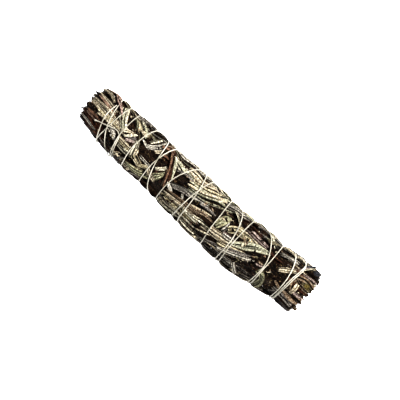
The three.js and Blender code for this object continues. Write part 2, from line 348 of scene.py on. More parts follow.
def folded_section(q, half):
    """Two halves face to face: each bulges as a parabola, and a half-round fold joins
    them at the left.
    """
    p = np.abs(q)
    out = np.clip((p - 0.16) / 0.84, 0, 1)
    turn = np.clip(p / 0.16, 0, 1) * np.pi / 2
    x = np.where(p < 0.16, -0.86 - 0.14 * np.cos(turn), -0.86 + 1.82 * out)
    y = np.where(p < 0.16, 0.25 * np.sin(turn), 0.25 + 1.1 * out * (1 - out) * half**0.5)
    return x, 0.35 + np.sign(q) * y


def rolled_section(q, half):
    """Flat in the middle, with each margin rolled up and over along an arc of a circle."""
    p = np.abs(q)
    turn = np.clip((p - 0.24) / 0.76, 0, 1) * math.radians(255) - np.pi / 2
    x = np.where(p < 0.24, 0.52 * p / 0.24, 0.52 + 0.46 * np.cos(turn))
    y = np.where(p < 0.24, 0.0, 0.46 + 0.46 * np.sin(turn))
    return np.sign(q) * x, y * half + 0.12


def scroll_section(q, half):
    """A spiral that closes as it turns: one margin rolled over the other."""
    turn = (q + 1) / 2 * math.radians(560) + math.radians(70)
    size = 0.97 - 0.42 * (q + 1) / 2
    return size * np.cos(turn), 0.85 * half * (size * np.sin(turn) + 0.97)


# Each form's section, its points across, and which side of it was left outermost.
sections = {
    "open": (open_section, 19, 1),
    "pleated": (pleated_section, 7, 1),
    "folded": (folded_section, 17, 1),
    "rolled": (rolled_section, 17, -1),
    "scroll": (scroll_section, 17, -1),
}

# ---- Leaves: how one is laid --------------------------------------------------------
# A narrow leathery blade, widest near its middle, that follows a line round the bundle
# and rests on what lies under it. Drying has pleated or wrinkled it along its length.
row_step = 1.45  # mm between a leaf's sections
buried_row_step = 2.2  # mm, for a leaf that others hide
pleat_width = 1.9  # mm
places_across = 9  # where the pile is read under a leaf, from margin to margin
laid = []  # every leaf so far, as arrays, until the whole pile is known


def leaf_outline(t, base, tip):
    """Share of the full half width along the leaf, from its base to its tip.

    It rises from the base's share along a sine to the widest part and falls to the
    tip's in the same way.
    """
    rise = np.clip(t / 0.42, 0, 1)
    fall = np.clip((1 - t) / 0.52, 0, 1)
    rise = base + (1 - base) * np.sin(rise * np.pi / 2) ** 0.8
    fall = tip + (1 - tip) * np.sin(fall * np.pi / 2) ** 0.8
    return rise * fall


def ridge_height(form, folds, q, rows, rng):
    """How far each point stands up between two furrows, from 0 to 1.

    A pleated leaf has the size of a sine wave across it, whose folds drift sideways
    and fade in places. Any other has soft noise, drawn out along the leaf.
    """
    count = len(q)
    if form == "pleated":
        uneven = q * folds / 2 + 0.25 * blur(rng.normal(0, 1, count), 4, 0)
        drift = np.cumsum(blur(rng.normal(0, 1, rows), 4, 0)) * 0.05
        ridge = np.abs(np.sin((uneven[None] + drift[:, None]) * np.pi + rng.uniform(0, 3)))
        strength = 0.7 + 0.6 * blur(blur(rng.normal(0, 1, (rows, count)), 5, 0), 4, 1)
        return ridge**0.75 * np.clip(strength, 0.3, 1.3)
    ridge = blur(blur(rng.normal(0, 1, (rows, count)), 6, 0), 0.9, 1)
    return np.clip(0.62 + 0.2 * ridge / (ridge.std() + 1e-9), 0, 1)


def resting_height(form, path, side, half, x):
    """Height of the pile under each point of a leaf's sections.

    It is the highest value near each place across the leaf. A flat leaf follows it
    softly; a stiff, rolled or folded one rests mostly on its highest place.
    """
    columns = np.linspace(-1, 1, places_across)
    under = path[:, None, :] + (columns[None, :, None] * (half[:, None, None] + 0.3)
                                * side[:, None, :])
    below = map_read(pile, under[..., 0], under[..., 1] / reference_radius)
    below = widened(widened(below, 2, 0), 1, 1)
    if form in ("open", "pleated"):
        below = blur(blur(below, 2.2, 0), 1.4, 1)
    else:
        top = below.max(axis=1, keepdims=True)
        below = blur(0.75 * top + 0.25 * below.mean(axis=1, keepdims=True), 3.0, 0)
        below = np.repeat(below, places_across, axis=1)
    last = places_across - 1
    place = np.clip((x + 1) / 2 * last, 0, last - 0.001)
    k = place.astype(int)
    return below[:, k] * (1 - (place - k)) + below[:, np.minimum(k + 1, last)] * (place - k)


def section_heading(across, up):
    """The direction in which each section runs at each point, as steps of length 1."""
    dx, dy = np.gradient(across, axis=1), np.gradient(up, axis=1)
    size = np.sqrt(dx**2 + dy**2) + 1e-9
    return dx / size, dy / size


def lay_leaf(form, line, width, tone, name=None, base=0.25, tip=0.04, sink=0.0,
             wave=0.35, seed=0, buried=False):
    """Lays one leaf along a line of (station, angle) places on the pile so far.

    The line is carried sideways by the section's x and up by its y, its ridges and a
    fine crinkle, above the pile's height there. Two faces then stand off that middle
    surface, square to the section. wave is how far it sways and crinkles, sink how far
    it is pressed into the pile, and buried a leaf that others hide, with fewer points.
    """
    rng = np.random.default_rng(seed)
    section, count, outer = sections[form]
    folds = max(int(round(width / pleat_width)), 2)
    if buried:
        count = count // 2 + 1
    if form == "pleated":
        count = folds * 6 + 1
    path = np.array([(s, a * reference_radius) for s, a in line])
    path = evenly(through_points(path, 16), buried_row_step if buried else row_step)
    long = np.linalg.norm(np.diff(path, axis=0), axis=1).sum()
    rows = len(path)
    t = np.linspace(0, 1, rows)
    ahead = np.gradient(path, axis=0)
    ahead /= np.linalg.norm(ahead, axis=1, keepdims=True)
    side = np.stack([-ahead[:, 1], ahead[:, 0]], axis=1)

    # Its width is uneven, and its sections flatten over about a tenth of it at each end.
    sway = blur(rng.normal(0, 1, rows), 5, 0) * 1.1 * wave
    half = width / 2 * leaf_outline(t, base, tip)
    half = half * (1 + 0.3 * blur(rng.normal(0, 1, rows), 2.0, 0))
    half = np.maximum(half, 0.12)
    q = np.linspace(-1, 1, count)
    x, y = section(q, width / 2)
    end = np.clip(np.minimum(t / 0.08, (1 - t) / 0.12), 0, 1)[:, None] ** 0.7

    ridge = ridge_height(form, folds, q, rows, rng)
    bumps = 0.85 * ridge if form == "pleated" else 0.5 * ridge * min(width / 5, 1)
    crinkle = blur(blur(rng.normal(0, 1, (rows, count)), 1.3, 0), 1.6, 1)
    across = half[:, None] * x[None] + sway[:, None]
    up = y[None] * (0.35 + 0.65 * end * half[:, None] / half.max())
    up = up + (bumps + wave * 1.1 * crinkle) * end
    flat = path[:, None, :] + across[:, :, None] * side[:, None, :]
    station, angle = flat[..., 0], flat[..., 1] / reference_radius
    height = resting_height(form, path, side, half, x) + up - sink

    dx, dy = section_heading(across, up)
    thick = blade_thickness / 2 * outer * (0.4 + 0.6 * end)
    shells = []
    for sign in (1, -1):
        shift = -dy * thick * sign
        s = station + shift * side[:, None, 0]
        a = angle + shift * side[:, None, 1] / reference_radius
        shells.append((s, a, height + dx * thick * sign))
    stretch, margin = (1, q) if form in ("open", "pleated") else (2, 0.86 * q)
    laid.append(dict(
        name=name, tone=tone, rows=rows, count=count, shells=shells, edge=margin, crest=ridge,
        along=t * long, across=q[None] * np.maximum(half[:, None], 0.2) * stretch,
    ))

    # The map takes the leaf's upper face, split finely enough to leave no cell out.
    top = max(shells, key=lambda shell: shell[2].mean())
    s, a, h = (finer(finer(part, 3).T, 3) for part in top)
    i = np.clip(np.round((s - map_from) / map_step).astype(int), 0, len(stations) - 1)
    j = np.round(a / (2 * np.pi) * around).astype(int) % around
    np.maximum.at(pile, (i, j), h)


# ---- Leaves: colours ----------------------------------------------------------------
# The underside is felted cream, yellowish or greyish; the upper side is coated with
# resin and dries dark brown. Each leaf takes a colour of its own from these.
felt_colours = {
    "cream": "#cdc7b1", "yellow": "#c5bb9d", "sand": "#bab099", "grey": "#b2ada1",
    "green": "#b5b39c", "pale": "#d0cabc", "pink": "#a0928a", "olive": "#7c745d",
    "dull": "#77726b", "tan": "#8d7d69", "moss": "#96947a", "sage": "#b1b09a",
    "lichen": "#87866f", "bark": "#7c6552",
}
resin_colours = {
    "dark": "#0f0b09", "black": "#080605", "brown": "#211711", "red": "#33221b",
    "rust": "#5c4a3f", "umber": "#17110d", "clay": "#77665b",
}


# ---- Leaves: the list ---------------------------------------------------------------
# Bunched by hand: dark leaves in the middle, then leaves all round, then the ones that
# were laid on last, mostly with the felted side out. Each has a form, a tone, a width
# in mm and the line that it follows.
def over(*places):
    """A line on top from (station, mm across) places."""
    return [(s, float(seen_at(s, v))) for s, v in places]


def round_at(*places):
    """A line from (station, angle in degrees) places."""
    return [(s, math.radians(a)) for s, a in places]


def bent_at(start, end, angle, lean, bow):
    """A line along the bundle that leans by so many degrees and bows at its middle."""
    return round_at((start, angle), ((start + end) / 2, angle + lean * 0.5 + bow),
                    (end, angle + lean))


golden, golden_turn = 0.618034, 0.381966  # steps of this share never fall in rows
last_station = 198
rng = np.random.default_rng(11)

# The first courses: dark leaves all round, at every station.
for i in range(96):
    start = rng.uniform(-1, 158)
    long = rng.uniform(34, 70)
    a = 360 * ((i * golden_turn) % 1) + rng.uniform(-9, 9)
    lean = rng.uniform(-26, 26)
    end = min(start + long, 197)
    start = max(start, 2.0)
    form = ["open", "rolled", "folded"][i % 3]
    tone = ["dark", "black", "umber", "brown", "dark"][i % 5]
    line = bent_at(start, end, a, lean, rng.uniform(-6, 6))
    lay_leaf(form, line, rng.uniform(6, 12), tone, seed=i, buried=True)

# Dark upper sides that show in the gaps on top.
under_top = [
    ("leaf_01", "umber", 12, [(2, -6), (26, -7), (50, -3)]),
    ("leaf_02", "brown", 10, [(12, 13), (40, 10), (66, 10)]),
    ("leaf_03", "black", 11, [(24, 5), (50, 3), (80, 1)]),
    ("leaf_04", "dark", 11, [(52, -5), (80, -4), (108, -4)]),
    ("leaf_05", "dark", 12, [(76, 6), (100, 5), (136, 4)]),
    ("leaf_06", "black", 13, [(104, -13), (135, -13), (166, -9)]),
    ("leaf_07", "red", 12, [(126, 10), (155, 11), (184, 11)]),
    ("leaf_08", "black", 13, [(146, -1), (170, 0), (196, 1)]),
    ("leaf_09", "dark", 11, [(140, -18), (165, -15), (194, -11)]),
]
for k, (name, tone, width, places) in enumerate(under_top):
    lay_leaf("open", over(*places), width, tone, name, seed=200 + k, sink=0.5)

# The sides and the underside: two courses of five, with shorter leaves over them.
for i in range(5):
    a = 100 + 38 * i
    slip = 4 * ((i * 2) % 3) - 4
    line = round_at((6 + slip, a - 5), (55, a), (106 + slip, a + 5))
    tone = ["umber", "dark", "brown", "dark", "umber"][i]
    lay_leaf("open", line, 13, tone, f"leaf_{10 + i}", seed=300 + i)
for i in range(5):
    a = 106 + 38 * i
    slip = 4 * ((i * 2) % 3) - 4
    line = round_at((94 + slip, a - 5), (145, a), (min(196 + slip, last_station), a + 5))
    tone = ["sand", "grey", "cream", "yellow", "green"][i]
    lay_leaf("folded", line, 9, tone, f"leaf_{15 + i}", seed=310 + i)
pale_tones = ["cream", "yellow", "sand", "grey", "green", "pale"]
for i in range(74):
    start = rng.uniform(0, 168)
    long = rng.uniform(20, 52)
    a = 86 + 188 * ((i * golden) % 1)
    lean = rng.uniform(-22, 22)
    end = min(start + long, last_station)
    felt = rng.random() < 0.62
    tone = str(rng.choice(pale_tones if felt else ["dark", "black", "brown", "red"]))
    form = rng.choice(["rolled", "folded", "open"])
    line = bent_at(start, end, a, lean, rng.uniform(-5, 5))
    lay_leaf(form, line, rng.uniform(3.5, 7.5), tone, seed=400 + i)

# Leaves along both flanks, which close the pile below the outer ones.
flanks = [(side, start, a) for side in (-1, 1) for start in (2, 34, 66, 98, 130, 160)
          for a in (46, 58, 70, 82, 94, 106)]
for k, (side, start, a) in enumerate(flanks):
    start += 14 * (k % 2)
    line = round_at((start, side * a), (start + 22, side * (a + 3)),
                    (min(start + 44, last_station), side * a))
    lay_leaf("open", line, 9, ["umber", "dark", "brown"][k % 3], base=0.8, tip=0.7,
             seed=1100 + k, buried=True)
flank_tones = ["dark", "black", "umber", "brown", "dull", "grey", "sand", "olive"]
for i in range(56):
    start = rng.uniform(0, 172)
    end = min(start + rng.uniform(20, 46), last_station)
    a = (-1) ** i * (62 + 50 * ((i * golden) % 1))
    lean = rng.uniform(-14, 14)
    tone = str(rng.choice(flank_tones))
    form = str(rng.choice(["rolled", "pleated", "open"]))
    line = bent_at(start, end, a, lean, rng.uniform(-4, 4))
    lay_leaf(form, line, rng.uniform(4, 7.5), tone, seed=1200 + i)

# Leaves that show along its two edges, each from one (station, angle) to another.
edge_leaves = [
    ("open", "umber", 7.0, (3.5, 58), (24, 62)),
    ("open", "dark", 5.0, (6, 68), (24, 72)),
    ("open", "umber", 6.0, (22, -68), (48, -70)),
    ("open", "dark", 6.0, (156, 58), (182, 60)),
    ("rolled", "umber", 3.4, (8.5, 74), (26, 84)),
    ("pleated", "dull", 4.2, (26, 86), (58, 84)),
    ("rolled", "grey", 3.4, (60, 86), (86, 85)),
    ("pleated", "green", 4.6, (64, 79), (98, 80)),
    ("rolled", "sand", 3.6, (84, 87), (112, 86)),
    ("pleated", "cream", 4.8, (94, 80), (126, 79)),
    ("rolled", "green", 3.6, (110, 87), (140, 85)),
    ("pleated", "grey", 4.4, (122, 79), (150, 80)),
    ("rolled", "olive", 3.6, (140, 87), (166, 86)),
    ("pleated", "grey", 4.0, (158, 80), (178, 82)),
    ("rolled", "dull", 3.6, (166, 88), (190, 86)),
    ("pleated", "sand", 3.6, (176, 80), (196, 78)),
    ("rolled", "umber", 3.6, (4, -86), (28, -86)),
    ("pleated", "dull", 4.0, (30, -82), (58, -84)),
    ("rolled", "dark", 3.6, (56, -88), (82, -86)),
    ("pleated", "cream", 4.2, (78, -82), (104, -82)),
    ("rolled", "cream", 3.4, (98, -87), (124, -86)),
    ("pleated", "dull", 4.6, (118, -80), (136, -82)),
    ("rolled", "grey", 3.4, (124, -87), (152, -86)),
    ("pleated", "sand", 4.0, (148, -82), (170, -80)),
    ("rolled", "dark", 3.6, (164, -86), (194, -86)),
]
for k, (form, tone, width, start, end) in enumerate(edge_leaves):
    middle = ((start[0] + end[0]) / 2, (start[1] + end[1]) / 2 + 3 * (-1) ** k)
    lay_leaf(form, round_at(start, middle, end), width, tone, seed=1300 + k, sink=0.5)

# The three that it lies on.
for number, tone, places in [
    (45, "cream", [(24, 176), (54, 174), (84, 171)]),
    (46, "dark", [(75, 189), (106, 188), (137, 186)]),
    (47, "sand", [(128, 171), (155, 175), (183, 178)]),
]:
    lay_leaf("open", round_at(*places), 9.5, tone, f"leaf_{number}", seed=number, wave=0.2)

# Crumpled bits of dark leaf between the outer ones on top.
for i in range(150):
    s = rng.uniform(4, 194)
    v = rng.uniform(-16, 16)
    lean = rng.normal(0, 0.45)
    half = rng.uniform(3, 8)
    places = [(s - half, v - half * math.sin(lean)), (s, v + rng.uniform(-0.8, 0.8)),
              (s + half, v + half * math.sin(lean))]
    tone = str(rng.choice(["dark", "black", "umber", "black", "brown"]))
    form = str(rng.choice(["rolled", "folded"]))
    lay_leaf(form, over(*places), rng.uniform(1.6, 3.4), tone, seed=2000 + i, wave=0.6, sink=0.8)

# The leaves that are outermost on top, in the order that they lie.
top_leaves = [
    # left end: brown leaf ends above and below a band of pale strips
    ("pleated", "umber", 4.6, [(5, 15.6), (14, 17.4), (27, 17.2)]),
    ("rolled", "dark", 3.0, [(16, 17.9), (22, 18.1), (30, 17.8)]),
    ("pleated", "sand", 4.6, [(2, 11.6), (10, 11.6), (20, 9.6)], "leaf_20"),
    ("rolled", "black", 2.4, [(3, 13.6), (9, 14.2), (17, 13.4)]),
    ("pleated", "sand", 3.4, [(2, 13.4), (7, 14.6), (14, 12.8)]),
    ("open", "clay", 5.4, [(3.6, 15.4), (9, 17), (17, 17.4)]),
    ("rolled", "clay", 2.4, [(3, 9), (9, 8.8), (19, 7.2)]),
    ("pleated", "red", 6.0, [(1, -5.5), (12, -7.5), (26, -11.5)], "leaf_21"),
    ("pleated", "red", 4.2, [(1.5, -8.6), (12, -11), (24, -13)]),
    ("rolled", "grey", 2.2, [(1.6, -7.6), (9, -8.6), (17, -10.4)]),
    ("rolled", "dull", 1.8, [(5, -11), (12, -12.2), (20, -13.4)]),
    ("open", "red", 6, [(5, -1.5), (12, -2.8), (20, -4)]),
    ("pleated", "dark", 4.2, [(0.4, 0.6), (4, -0.4), (10, -1.6)]),
    ("rolled", "rust", 2.6, [(2.8, -2.8), (8, -3.2), (14, -4.2)]),
    ("rolled", "clay", 2.2, [(3.4, -4.8), (7, -5.4), (13, -7)]),
    ("pleated", "sand", 6.8, [(1, 4), (14, 3.7), (24, 3), (33, 1)], "leaf_22"),
    ("rolled", "sand", 2.3, [(1.5, 6.6), (12, 6.3), (22, 5)]),
    ("rolled", "yellow", 2.2, [(8, 1.4), (16, 1.6), (30, 0.8)]),
    ("rolled", "sand", 1.8, [(10, -0.4), (18, 0.1), (26, 0.2)]),
    ("pleated", "brown", 3.4, [(14, 15.4), (19, 13.5), (24, 12.5)]),
    ("rolled", "sand", 3.0, [(17, 17.4), (24, 16.8), (32, 15.6)]),
    ("pleated", "black", 5.0, [(21, -6), (27, -8.5), (33, -12)]),
    ("open", "green", 6.4, [(22.5, 16), (25.4, 9.5), (31.5, 1.8)], "leaf_24"),
    ("rolled", "cream", 2.0, [(24, 15), (27.6, 9), (32.5, 4)]),
    ("open", "grey", 5.6, [(22.5, -3), (29, -6), (38, -10)], "leaf_25"),
    ("rolled", "black", 3.4, [(21, -7), (26.4, -9.6), (32.6, -13)]),
    ("rolled", "dull", 1.8, [(21.5, -11.8), (25, -13), (29, -13.4)]),
    # crossing pale bits
    ("open", "yellow", 5.6, [(31, 17), (37, 13.4), (40.6, 6.4)]),
    ("rolled", "lichen", 2.2, [(32, 15.6), (35.6, 12.6), (37.6, 9.4)]),
    ("rolled", "grey", 1.6, [(31.6, 5.2), (34, 4.6), (36.6, 5)]),
    ("rolled", "sand", 2.2, [(30, 1.6), (34.6, 4.4), (39, 6.2)]),
    ("pleated", "dull", 3.4, [(32.6, -0.6), (37, 1.4), (42, 4.6)]),
    ("rolled", "cream", 2.4, [(33.4, -0.8), (37.4, 3), (41.4, 7.6)]),
    ("rolled", "pink", 2.0, [(36, -1.6), (40, 0.2), (44, 1.6)]),
    ("rolled", "sand", 2.2, [(31, -2.4), (37, -3.4), (44, -3.8)]),
    ("pleated", "yellow", 3.4, [(31, -5), (37, -6.4), (44.6, -6.2)]),
    ("pleated", "cream", 3.8, [(33, -8.6), (38, -9.6), (45, -9.4)]),
    ("rolled", "cream", 2.2, [(39, -7.6), (43, -7.4), (47, -8)]),
    ("rolled", "sand", 1.8, [(36, -15), (39, -11.8), (41, -13)]),
    ("rolled", "grey", 1.6, [(40.4, -14.6), (42.6, -12), (45, -12.2)]),
    ("pleated", "sand", 4.0, [(17, 17.6), (30, 16.9), (45, 16)], "leaf_23"),
    ("pleated", "cream", 3.4, [(36, 16.6), (41.4, 14), (47.4, 12)]),
    ("rolled", "green", 3.0, [(40, 14.8), (43.4, 12.6), (46, 9)]),
    ("rolled", "sand", 2.6, [(39.6, 10.8), (43, 10.2), (46.6, 10.4)]),
    ("pleated", "olive", 3.4, [(40.6, 9), (43, 6.6), (44, 3.6)]),
    # the broad dark leaf and what lies round it
    ("open", "umber", 10.5, [(46.5, 2.4), (54, 0.6), (63, -1.8)]),
    ("pleated", "cream", 5.0, [(43.4, 4.2), (45.6, -2.6), (47, -10)]),
    ("rolled", "sand", 2.4, [(47, -1), (47.8, -4), (47.6, -8)]),
    ("pleated", "green", 4.6, [(44, 13.8), (50, 14.2), (57, 14)]),
    ("rolled", "grey", 1.9, [(43, 15.6), (52, 15.8), (60, 16.2)]),
    ("rolled", "dull", 1.9, [(45, 17.4), (53, 17.6), (60, 17.6)]),
    ("pleated", "grey", 3.0, [(44.6, 7.4), (48, 6.4), (53, 4.6)]),
    ("pleated", "grey", 5.6, [(50.6, 5.4), (55.4, 9.6), (61, 16.6)], "leaf_26"),
    ("rolled", "cream", 2.4, [(50.4, 9), (53, 12), (56, 15.6)]),
    ("rolled", "sand", 2.2, [(57, 6), (59.4, 8.6), (60.6, 12.6)]),
    ("rolled", "grey", 2.2, [(51, -3.4), (56, -4.2), (62, -4.6)]),
    ("open", "yellow", 6.2, [(47.4, -6.2), (53, -9.4), (61, -13.4)]),
    ("rolled", "sand", 2.2, [(49, -8.6), (54, -11.4), (59, -14)]),
    ("pleated", "yellow", 3.8, [(53.6, -10.6), (58, -7.2), (62, -5.4)]),
    ("rolled", "sand", 1.7, [(50, -16.4), (52, -13.4), (57, -12.6)]),
    ("rolled", "grey", 1.5, [(52.6, -16.4), (56, -14.8), (61, -14.2)]),
    ("rolled", "rust", 3.0, [(58, 12.4), (62, 14), (67, 16.4)]),
    ("rolled", "tan", 1.8, [(60, 14.6), (64, 16), (68, 17.4)]),
    ("pleated", "moss", 5.6, [(46, -13), (62, -12), (69, -6), (72.6, 1.6)], "leaf_27"),
    ("pleated", "sand", 4.0, [(60, -6.2), (65, -9), (70, -10.6)]),
    ("rolled", "cream", 2.2, [(64.4, -2.6), (68, 0), (71.4, 4.4)]),
    ("rolled", "rust", 2.2, [(61.5, 9), (66, 10.6), (71.6, 8.6)]),
    ("pleated", "tan", 3.6, [(72, 4), (74, -2), (75.8, -9)]),
    ("pleated", "bark", 4.4, [(63, 17), (69.4, 11.4), (74, 2), (77.4, -10)], "leaf_28"),
    ("rolled", "red", 1.5, [(67, 16.4), (71.8, 10), (75.2, 2), (77.8, -6)]),
    ("rolled", "rust", 1.5, [(64, 15), (69, 9.6), (72.6, 2)]),
    ("rolled", "green", 1.9, [(70, 13), (74, 7), (78.4, -1.4)]),
    ("rolled", "cream", 2.8, [(69.4, 14), (74.4, 10.8), (79, 8.4)]),
    # the long sweep of pale leaves
    ("pleated", "grey", 3.6, [(66, 16.8), (84, 17), (104, 17.4)], "leaf_29"),
    ("pleated", "cream", 5.0, [(69, 15), (79, 13.4), (90, 13.4)]),
    ("rolled", "green", 3.0, [(73, 11.6), (81, 10.8), (90, 11.4)]),
    ("rolled", "dull", 2.0, [(76, 7.2), (82, 9.4), (91, 9.6)]),
    ("open", "sand", 6.4, [(82, 14.6), (95, 14.2), (108, 16.6)]),
    ("pleated", "yellow", 6.6, [(90, 9.8), (101, 11.4), (120, 17)], "leaf_32"),
    ("rolled", "green", 3.4, [(88, 7.4), (99, 8.4), (109, 12), (122, 16.4)]),
    ("rolled", "sand", 3.4, [(88, 5), (98, 6), (108, 9.6), (122, 14.8)]),
    ("pleated", "green", 5.0,
     [(90, 2.8), (101, 4.2), (111, 8.4), (121, 12.6), (132, 15.6)], "leaf_33"),
    ("rolled", "grey", 3.0, [(79, -2.6), (88, 0), (97, 1.2), (109, 3.6)]),
    ("rolled", "dull", 1.6, [(80, -4.2), (88, -1.6), (96, -0.8)]),
    ("rolled", "dull", 1.7, [(103, 0.6), (110, 1.4), (117, 1.6)]),
    ("rolled", "sand", 2.0, [(99, -5.6), (107, -3.4), (115, -0.8)]),
    ("pleated", "tan", 3.4, [(103, -6.4), (110, -4), (118, -3.6)]),
    ("rolled", "grey", 2.4, [(77, -3.6), (80, -5.2), (84, -7)]),
    ("rolled", "grey", 2.0, [(89.6, -2.8), (91.2, -4.6), (92.4, -7)]),
    ("pleated", "tan", 4.2, [(79, -8.4), (92, -7.6), (109, -6.8)]),
    ("rolled", "sand", 2.2, [(79, -10.8), (94, -9.8), (109, -9)]),
    ("pleated", "sand", 6.0, [(80, -11.4), (98, -11.2), (116, -10.8), (137, -8.8)], "leaf_30"),
    ("open", "cream", 5.0, [(97, -11.6), (104, -11.2), (112, -11.6)]),
    ("pleated", "yellow", 3.8, [(78, -14), (94, -14), (112, -14.2)]),
    ("rolled", "cream", 2.8, [(82, -16.4), (98, -15.8), (114, -16.6)]),
    ("pleated", "sand", 5.0, [(79, -16.8), (102, -18.4), (120, -19.2)], "leaf_31"),
    ("rolled", "cream", 2.4, [(105, -8.8), (112, -8.2), (119, -8.6)]),
    ("pleated", "cream", 3.0, [(98, -18.2), (106, -18.6), (114, -18.8)]),
    ("rolled", "black", 3.0, [(117, -14), (123, -15.2), (129, -15.6)]),
    ("rolled", "sand", 2.2, [(112, -16), (117, -13.6), (123, -12)]),
    # the middle right
    ("pleated", "grey", 5.6, [(117, 12.4), (126, 14.4), (138, 15.4)]),
    ("rolled", "sand", 2.6, [(116, 17), (126, 16.8), (137, 16.8)]),
    ("open", "moss", 6.4, [(120.6, -4.4), (122.6, 2), (125.6, 9.6)], "leaf_34"),
    ("rolled", "grey", 2.4, [(126.4, -3.6), (127.6, 1), (127.4, 6)]),
    ("rolled", "black", 2.6, [(128.6, 4), (128.8, 8), (127.8, 12)]),
    ("rolled", "cream", 3.4, [(124, 12.6), (130, 11), (136, 7.4)]),
    ("pleated", "yellow", 6.6, [(129, -0.6), (133, 3), (139, 7.4)]),
    ("open", "yellow", 8.0, [(134, 5), (142, 6.4), (152, 5)]),
    ("rolled", "sand", 2.4, [(139, 6.8), (146, 8), (152, 7.4)]),
    ("pleated", "pink", 3.2, [(127, -2.6), (132, -3.4), (137, -1.6)]),
    ("pleated", "sand", 4.2, [(119, -8), (129, -6.6), (139, -5.6)]),
    ("rolled", "pale", 2.4, [(128, -4.4), (133, -4.4), (139, -2.6)]),
    ("pleated", "grey", 4.4, [(116, -19), (134, -17.4), (152, -15.8)], "leaf_35"),
    ("rolled", "dull", 2.4, [(122, -16.6), (131, -13.8), (142, -11.6)]),
    ("rolled", "sand", 2.0, [(124, -17.6), (134, -15.4), (142, -13.6)]),
    ("pleated", "yellow", 4.2, [(129, -11.6), (140, -8.8), (149, -4.6)]),
    ("pleated", "black", 4.6, [(149, -4.4), (155, -1.6), (162, 2.4)]),
    ("open", "sage", 7.0, [(135.6, -6.8), (144.6, -0.8), (152.6, 4.6), (163, 8.4)], "leaf_36"),
    ("rolled", "dull", 2.0, [(138, -10), (147, -6.2), (153, -3)]),
    ("pleated", "pale", 4.2, [(131, -14), (144, -10.2), (151, -7), (157, -4)], "leaf_38"),
    ("rolled", "grey", 2.0, [(142.5, -19), (145, -17.4), (148, -15.4)]),
    ("pleated", "grey", 3.0, [(146.6, -14), (149.5, -17), (153.5, -19.4)]),
    ("pleated", "pink", 4.0, [(138, 9.6), (146, 9), (158, 9)], "leaf_37"),
    ("rolled", "pink", 3.0, [(142, 12.6), (149, 12.4), (159, 11.4)]),
    ("rolled", "red", 2.8, [(138, 13.6), (148, 14.2), (160, 13)]),
    ("rolled", "green", 2.8, [(132, 15), (137, 16), (144, 16.8)]),
    ("pleated", "brown", 4.0, [(131, 12), (135, 13), (140, 12)]),
    ("pleated", "umber", 4.6, [(158, 11.8), (166, 9.6), (175, 9.6)]),
    ("rolled", "red", 1.6, [(160, 8.4), (166, 7.6), (172, 8)]),
    ("rolled", "pink", 1.9, [(158, -4.8), (161, -4.6), (164.6, -2.8)]),
    ("rolled", "tan", 1.4, [(159, -2.6), (162, -2.4), (164.4, -1.4)]),
    ("pleated", "grey", 4.0, [(146, 17), (166, 17), (186, 19.2)], "leaf_39"),
    ("rolled", "cream", 1.9, [(154, 17.4), (158, 15.4), (162, 13)]),
    ("rolled", "cream", 2.0, [(165, 13.6), (171, 15), (178, 16.8)]),
    ("open", "lichen", 6.6, [(162.6, -7.4), (167.4, -8.4), (169, -12), (167.4, -17.4)], "leaf_40"),
    ("pleated", "dull", 3.6, [(155, -18.4), (160, -16.8), (166, -14.6)]),
    # the right end
    ("pleated", "sand", 4.3, [(172.6, 3), (178, 7.4), (185, 13)], "leaf_41"),
    ("rolled", "black", 3.0, [(180, 5.6), (184, 8), (189, 9.4)]),
    ("rolled", "sand", 3.0, [(165, 16.6), (174, 17.4), (184, 18.6)]),
    ("pleated", "grey", 3.8, [(166, 14.6), (173, 15), (181, 15.6)]),
    ("rolled", "dull", 2.0, [(166.6, 12.4), (172, 13), (178, 14)]),
    ("rolled", "sage", 2.6, [(152, 15.4), (158, 14.4), (164, 13.2)]),
    ("rolled", "olive", 2.6, [(150, 12.4), (156, 13), (163, 15.4)]),
    ("rolled", "tan", 2.6, [(176, -4), (182, -6.6), (192, -6.4)]),
    ("pleated", "dull", 4.4, [(178, -9.4), (188, -9.6), (196, -9.6)], "leaf_44"),
    ("rolled", "dull", 2.4, [(176.6, -13), (179, -11), (182, -9)]),
    ("rolled", "dull", 2.6, [(184, -8), (190, -7.6), (196.4, -6.8)]),
    ("pleated", "umber", 4.2, [(182, -12.6), (190, -12.6), (196, -12.4)]),
    ("pleated", "red", 4.4, [(181, 3.4), (190, 2.4), (199, 2.6)], "leaf_43"),
    ("rolled", "tan", 2.4, [(183, -2.4), (191, -4.2), (198.6, -3.6)]),
    ("rolled", "pink", 2.6, [(188, -3), (194, -2), (199.6, -0.8)]),
    ("pleated", "rust", 4.0, [(182, 12.4), (190, 11.6), (199.4, 10.4)], "leaf_42"),
    ("pleated", "dark", 4.0, [(186, 16.6), (192, 17.4), (198, 16)]),
    ("rolled", "pink", 2.0, [(187.6, 13.4), (193, 14.2), (199, 14)]),
    ("rolled", "tan", 2.8, [(186, 9.4), (192, 11), (199.6, 9.4)]),
    ("rolled", "tan", 2.8, [(184, -5.6), (191, -6.4), (198, -5.6)]),
    ("rolled", "tan", 2.2, [(185, 7), (190, 4.8), (198.6, 4.2)]),
    ("rolled", "tan", 1.8, [(186.6, 7.6), (190, 8.4), (193, 9.4)]),
    ("pleated", "olive", 5.6, [(191, 8), (195, 7.2), (199.4, 6.4)]),
    ("rolled", "pink", 2.0, [(183.4, 12.6), (186.6, 15.6), (189.4, 19)]),
    ("rolled", "cream", 1.7, [(186.6, 14.4), (189, 17), (191, 19.4)]),
    ("rolled", "tan", 2.4, [(183.6, 4), (185.6, 0.6), (187.8, -3)]),
    ("rolled", "sand", 2.8, [(189.2, 4.4), (189.8, 0), (189.2, -5)]),
]
